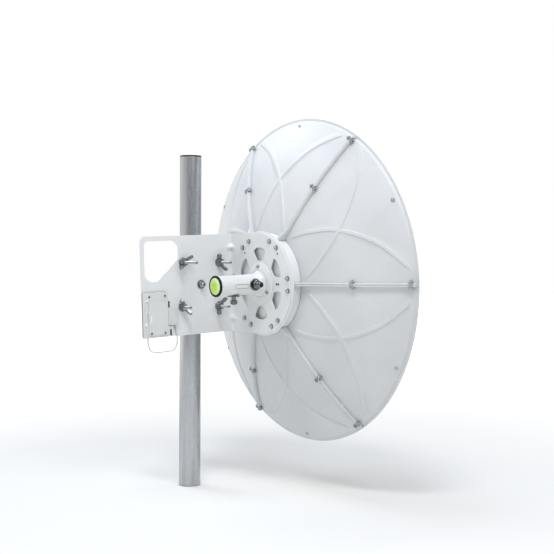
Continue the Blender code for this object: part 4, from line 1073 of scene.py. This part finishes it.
# Stage: pale floor, soft studio light, camera
stage = {
    "floor": "#EEEDEA", "size": 14.0, "sink": 0.0005,  # kept just under the pole's foot
    "glow": (1.0, 0.995, 0.985, 1.0),  # a lit floor, dimmer round the object and towards the camera
    "dim": {"From Min": 0.8, "From Max": 4.5, "To Min": 0.05},
    "nearDim": {"From Min": -2.5, "From Max": 0.5, "To Min": 0.25},
    "lampsAim": (0.1, 0.1, 0.55),
    "lamps": [  # name, place, size, watts, colour
        ("keyLamp", (1.5, -1.2, 3.4), 1.0, 48, "#F8FAFF"),
        ("fillLamp", (2.6, -0.2, 3.0), 1.2, 24, "#FCFDFF"),
        ("sideLamp", (-2.1, -0.28, 2.6), 1.4, 18, "#F2F6FF"),
        ("topLamp", (0.1, -0.1, 3.2), 1.2, 23, "#DAE8FF")],
}
across, ahead = Vector((0.6075, 0.7943, 0)), Vector((-0.7943, 0.6075, 0))  # the photograph's right and depth
room = [  # soft walls, each with its strength
    (-across, 1.13), (across, 0.55), (-ahead, 0.42), (ahead, 1.0), (Vector((0, 0, 1)), 0.12)]
floorMesh = bmesh.new()
bmesh.ops.create_circle(floorMesh, cap_ends=True, segments=96, radius=stage["size"])
floorData = bpy.data.meshes.new("floor")
floorMesh.to_mesh(floorData)
floorMesh.free()
floor = addObject("floor", floorData)
floor.location.z = -stage["sink"]
floorPaint = bpy.data.materials.new("floorPaint")
floorPaint.use_nodes = True
floorTree = floorPaint.node_tree
floorShader = floorTree.nodes["Principled BSDF"]
floorShader.inputs["Base Color"].default_value = toLinear(stage["floor"])
floorShader.inputs["Roughness"].default_value = 0.9
floorShader.inputs["Emission Color"].default_value = stage["glow"]
spot = addNode(floorTree, "TexCoord", "Object")
distance = addNode(floorTree, "VectorMath", "Value", {0: spot}, operation="LENGTH")
distance = addNode(floorTree, "MapRange", "Result", {"Value": distance, **stage["dim"]})
depth = addNode(floorTree, "VectorMath", "Value", {0: spot, 1: ahead}, operation="DOT_PRODUCT")
depth = addNode(floorTree, "MapRange", "Result", {"Value": depth, **stage["nearDim"]})
glow = addNode(floorTree, "Math", "Value", {0: distance, 1: depth}, operation="MULTIPLY")
floorTree.links.new(glow, floorShader.inputs["Emission Strength"])
floorData.materials.append(floorPaint)

world = bpy.data.worlds.new("studio")
world.use_nodes = True
scene.world = world
worldTree = world.node_tree
roomLight = worldTree.nodes["Background"]  # what lights the object: dimmer than the white sweep behind it
roomLight.inputs["Color"].default_value = (0.98, 0.99, 1.0, 1.0)
way = addNode(worldTree, "TexCoord", "Generated")
total = 0.0
for wall, strength in room:
    facing = addNode(worldTree, "VectorMath", "Value", {0: way, 1: wall}, operation="DOT_PRODUCT")
    facing = addNode(worldTree, "Math", "Value", {0: facing, 1: 0.0}, operation="MAXIMUM")
    facing = addNode(worldTree, "Math", "Value", {0: facing, 1: 2.0}, operation="POWER")
    total = addNode(worldTree, "Math", "Value", {0: facing, 1: strength, 2: total}, operation="MULTIPLY_ADD")
worldTree.links.new(total, roomLight.inputs["Strength"])
sweep = addNode(worldTree, "Background", 0, {"Color": (1, 1, 1, 1), "Strength": 1.0})
seen = addNode(worldTree, "LightPath", "Is Camera Ray")
both = addNode(worldTree, "MixShader", 0, {0: seen, 1: roomLight.outputs[0], 2: sweep})
worldTree.links.new(both, worldTree.nodes["World Output"].inputs["Surface"])

for name, place, size, watts, tint in stage["lamps"]:
    light = bpy.data.lights.new(name, "AREA")
    light.shape, light.size, light.energy, light.color = "DISK", size, watts, toLinear(tint)[:3]
    lamp = addObject(name, light)
    lamp.location = place
    lamp.rotation_mode = "QUATERNION"
    lamp.rotation_quaternion = (Vector(stage["lampsAim"]) - Vector(place)).to_track_quat("-Z", "Y")
scene.view_settings.view_transform = "Standard"

# The camera stands behind the dish to its right, a little above the hub
view = {"place": (2.8403, -1.8678, 0.67), "azimuth": 52.585, "down": 1.465, "roll": 0.283, "lens": 78.9}
azimuth, down, roll = (radians(view[key]) for key in ("azimuth", "down", "roll"))
levelRight = Vector((cos(azimuth), sin(azimuth), 0))
levelAhead = Vector((-sin(azimuth), cos(azimuth), 0))
ahead = levelAhead * cos(down) - Vector((0, 0, 1)) * sin(down)
upward = Vector((0, 0, 1)) * cos(down) + levelAhead * sin(down)
right = levelRight * cos(roll) + upward * sin(roll)
upward = upward * cos(roll) - levelRight * sin(roll)
cameraData = bpy.data.cameras.new("camera")
cameraData.lens, cameraData.sensor_width = view["lens"], 36
camera = addObject("camera", cameraData)
facing = Matrix((right, upward, -ahead)).transposed().to_4x4()
camera.matrix_world = Matrix.Translation(view["place"]) @ facing
scene.camera = camera

print("stage set")
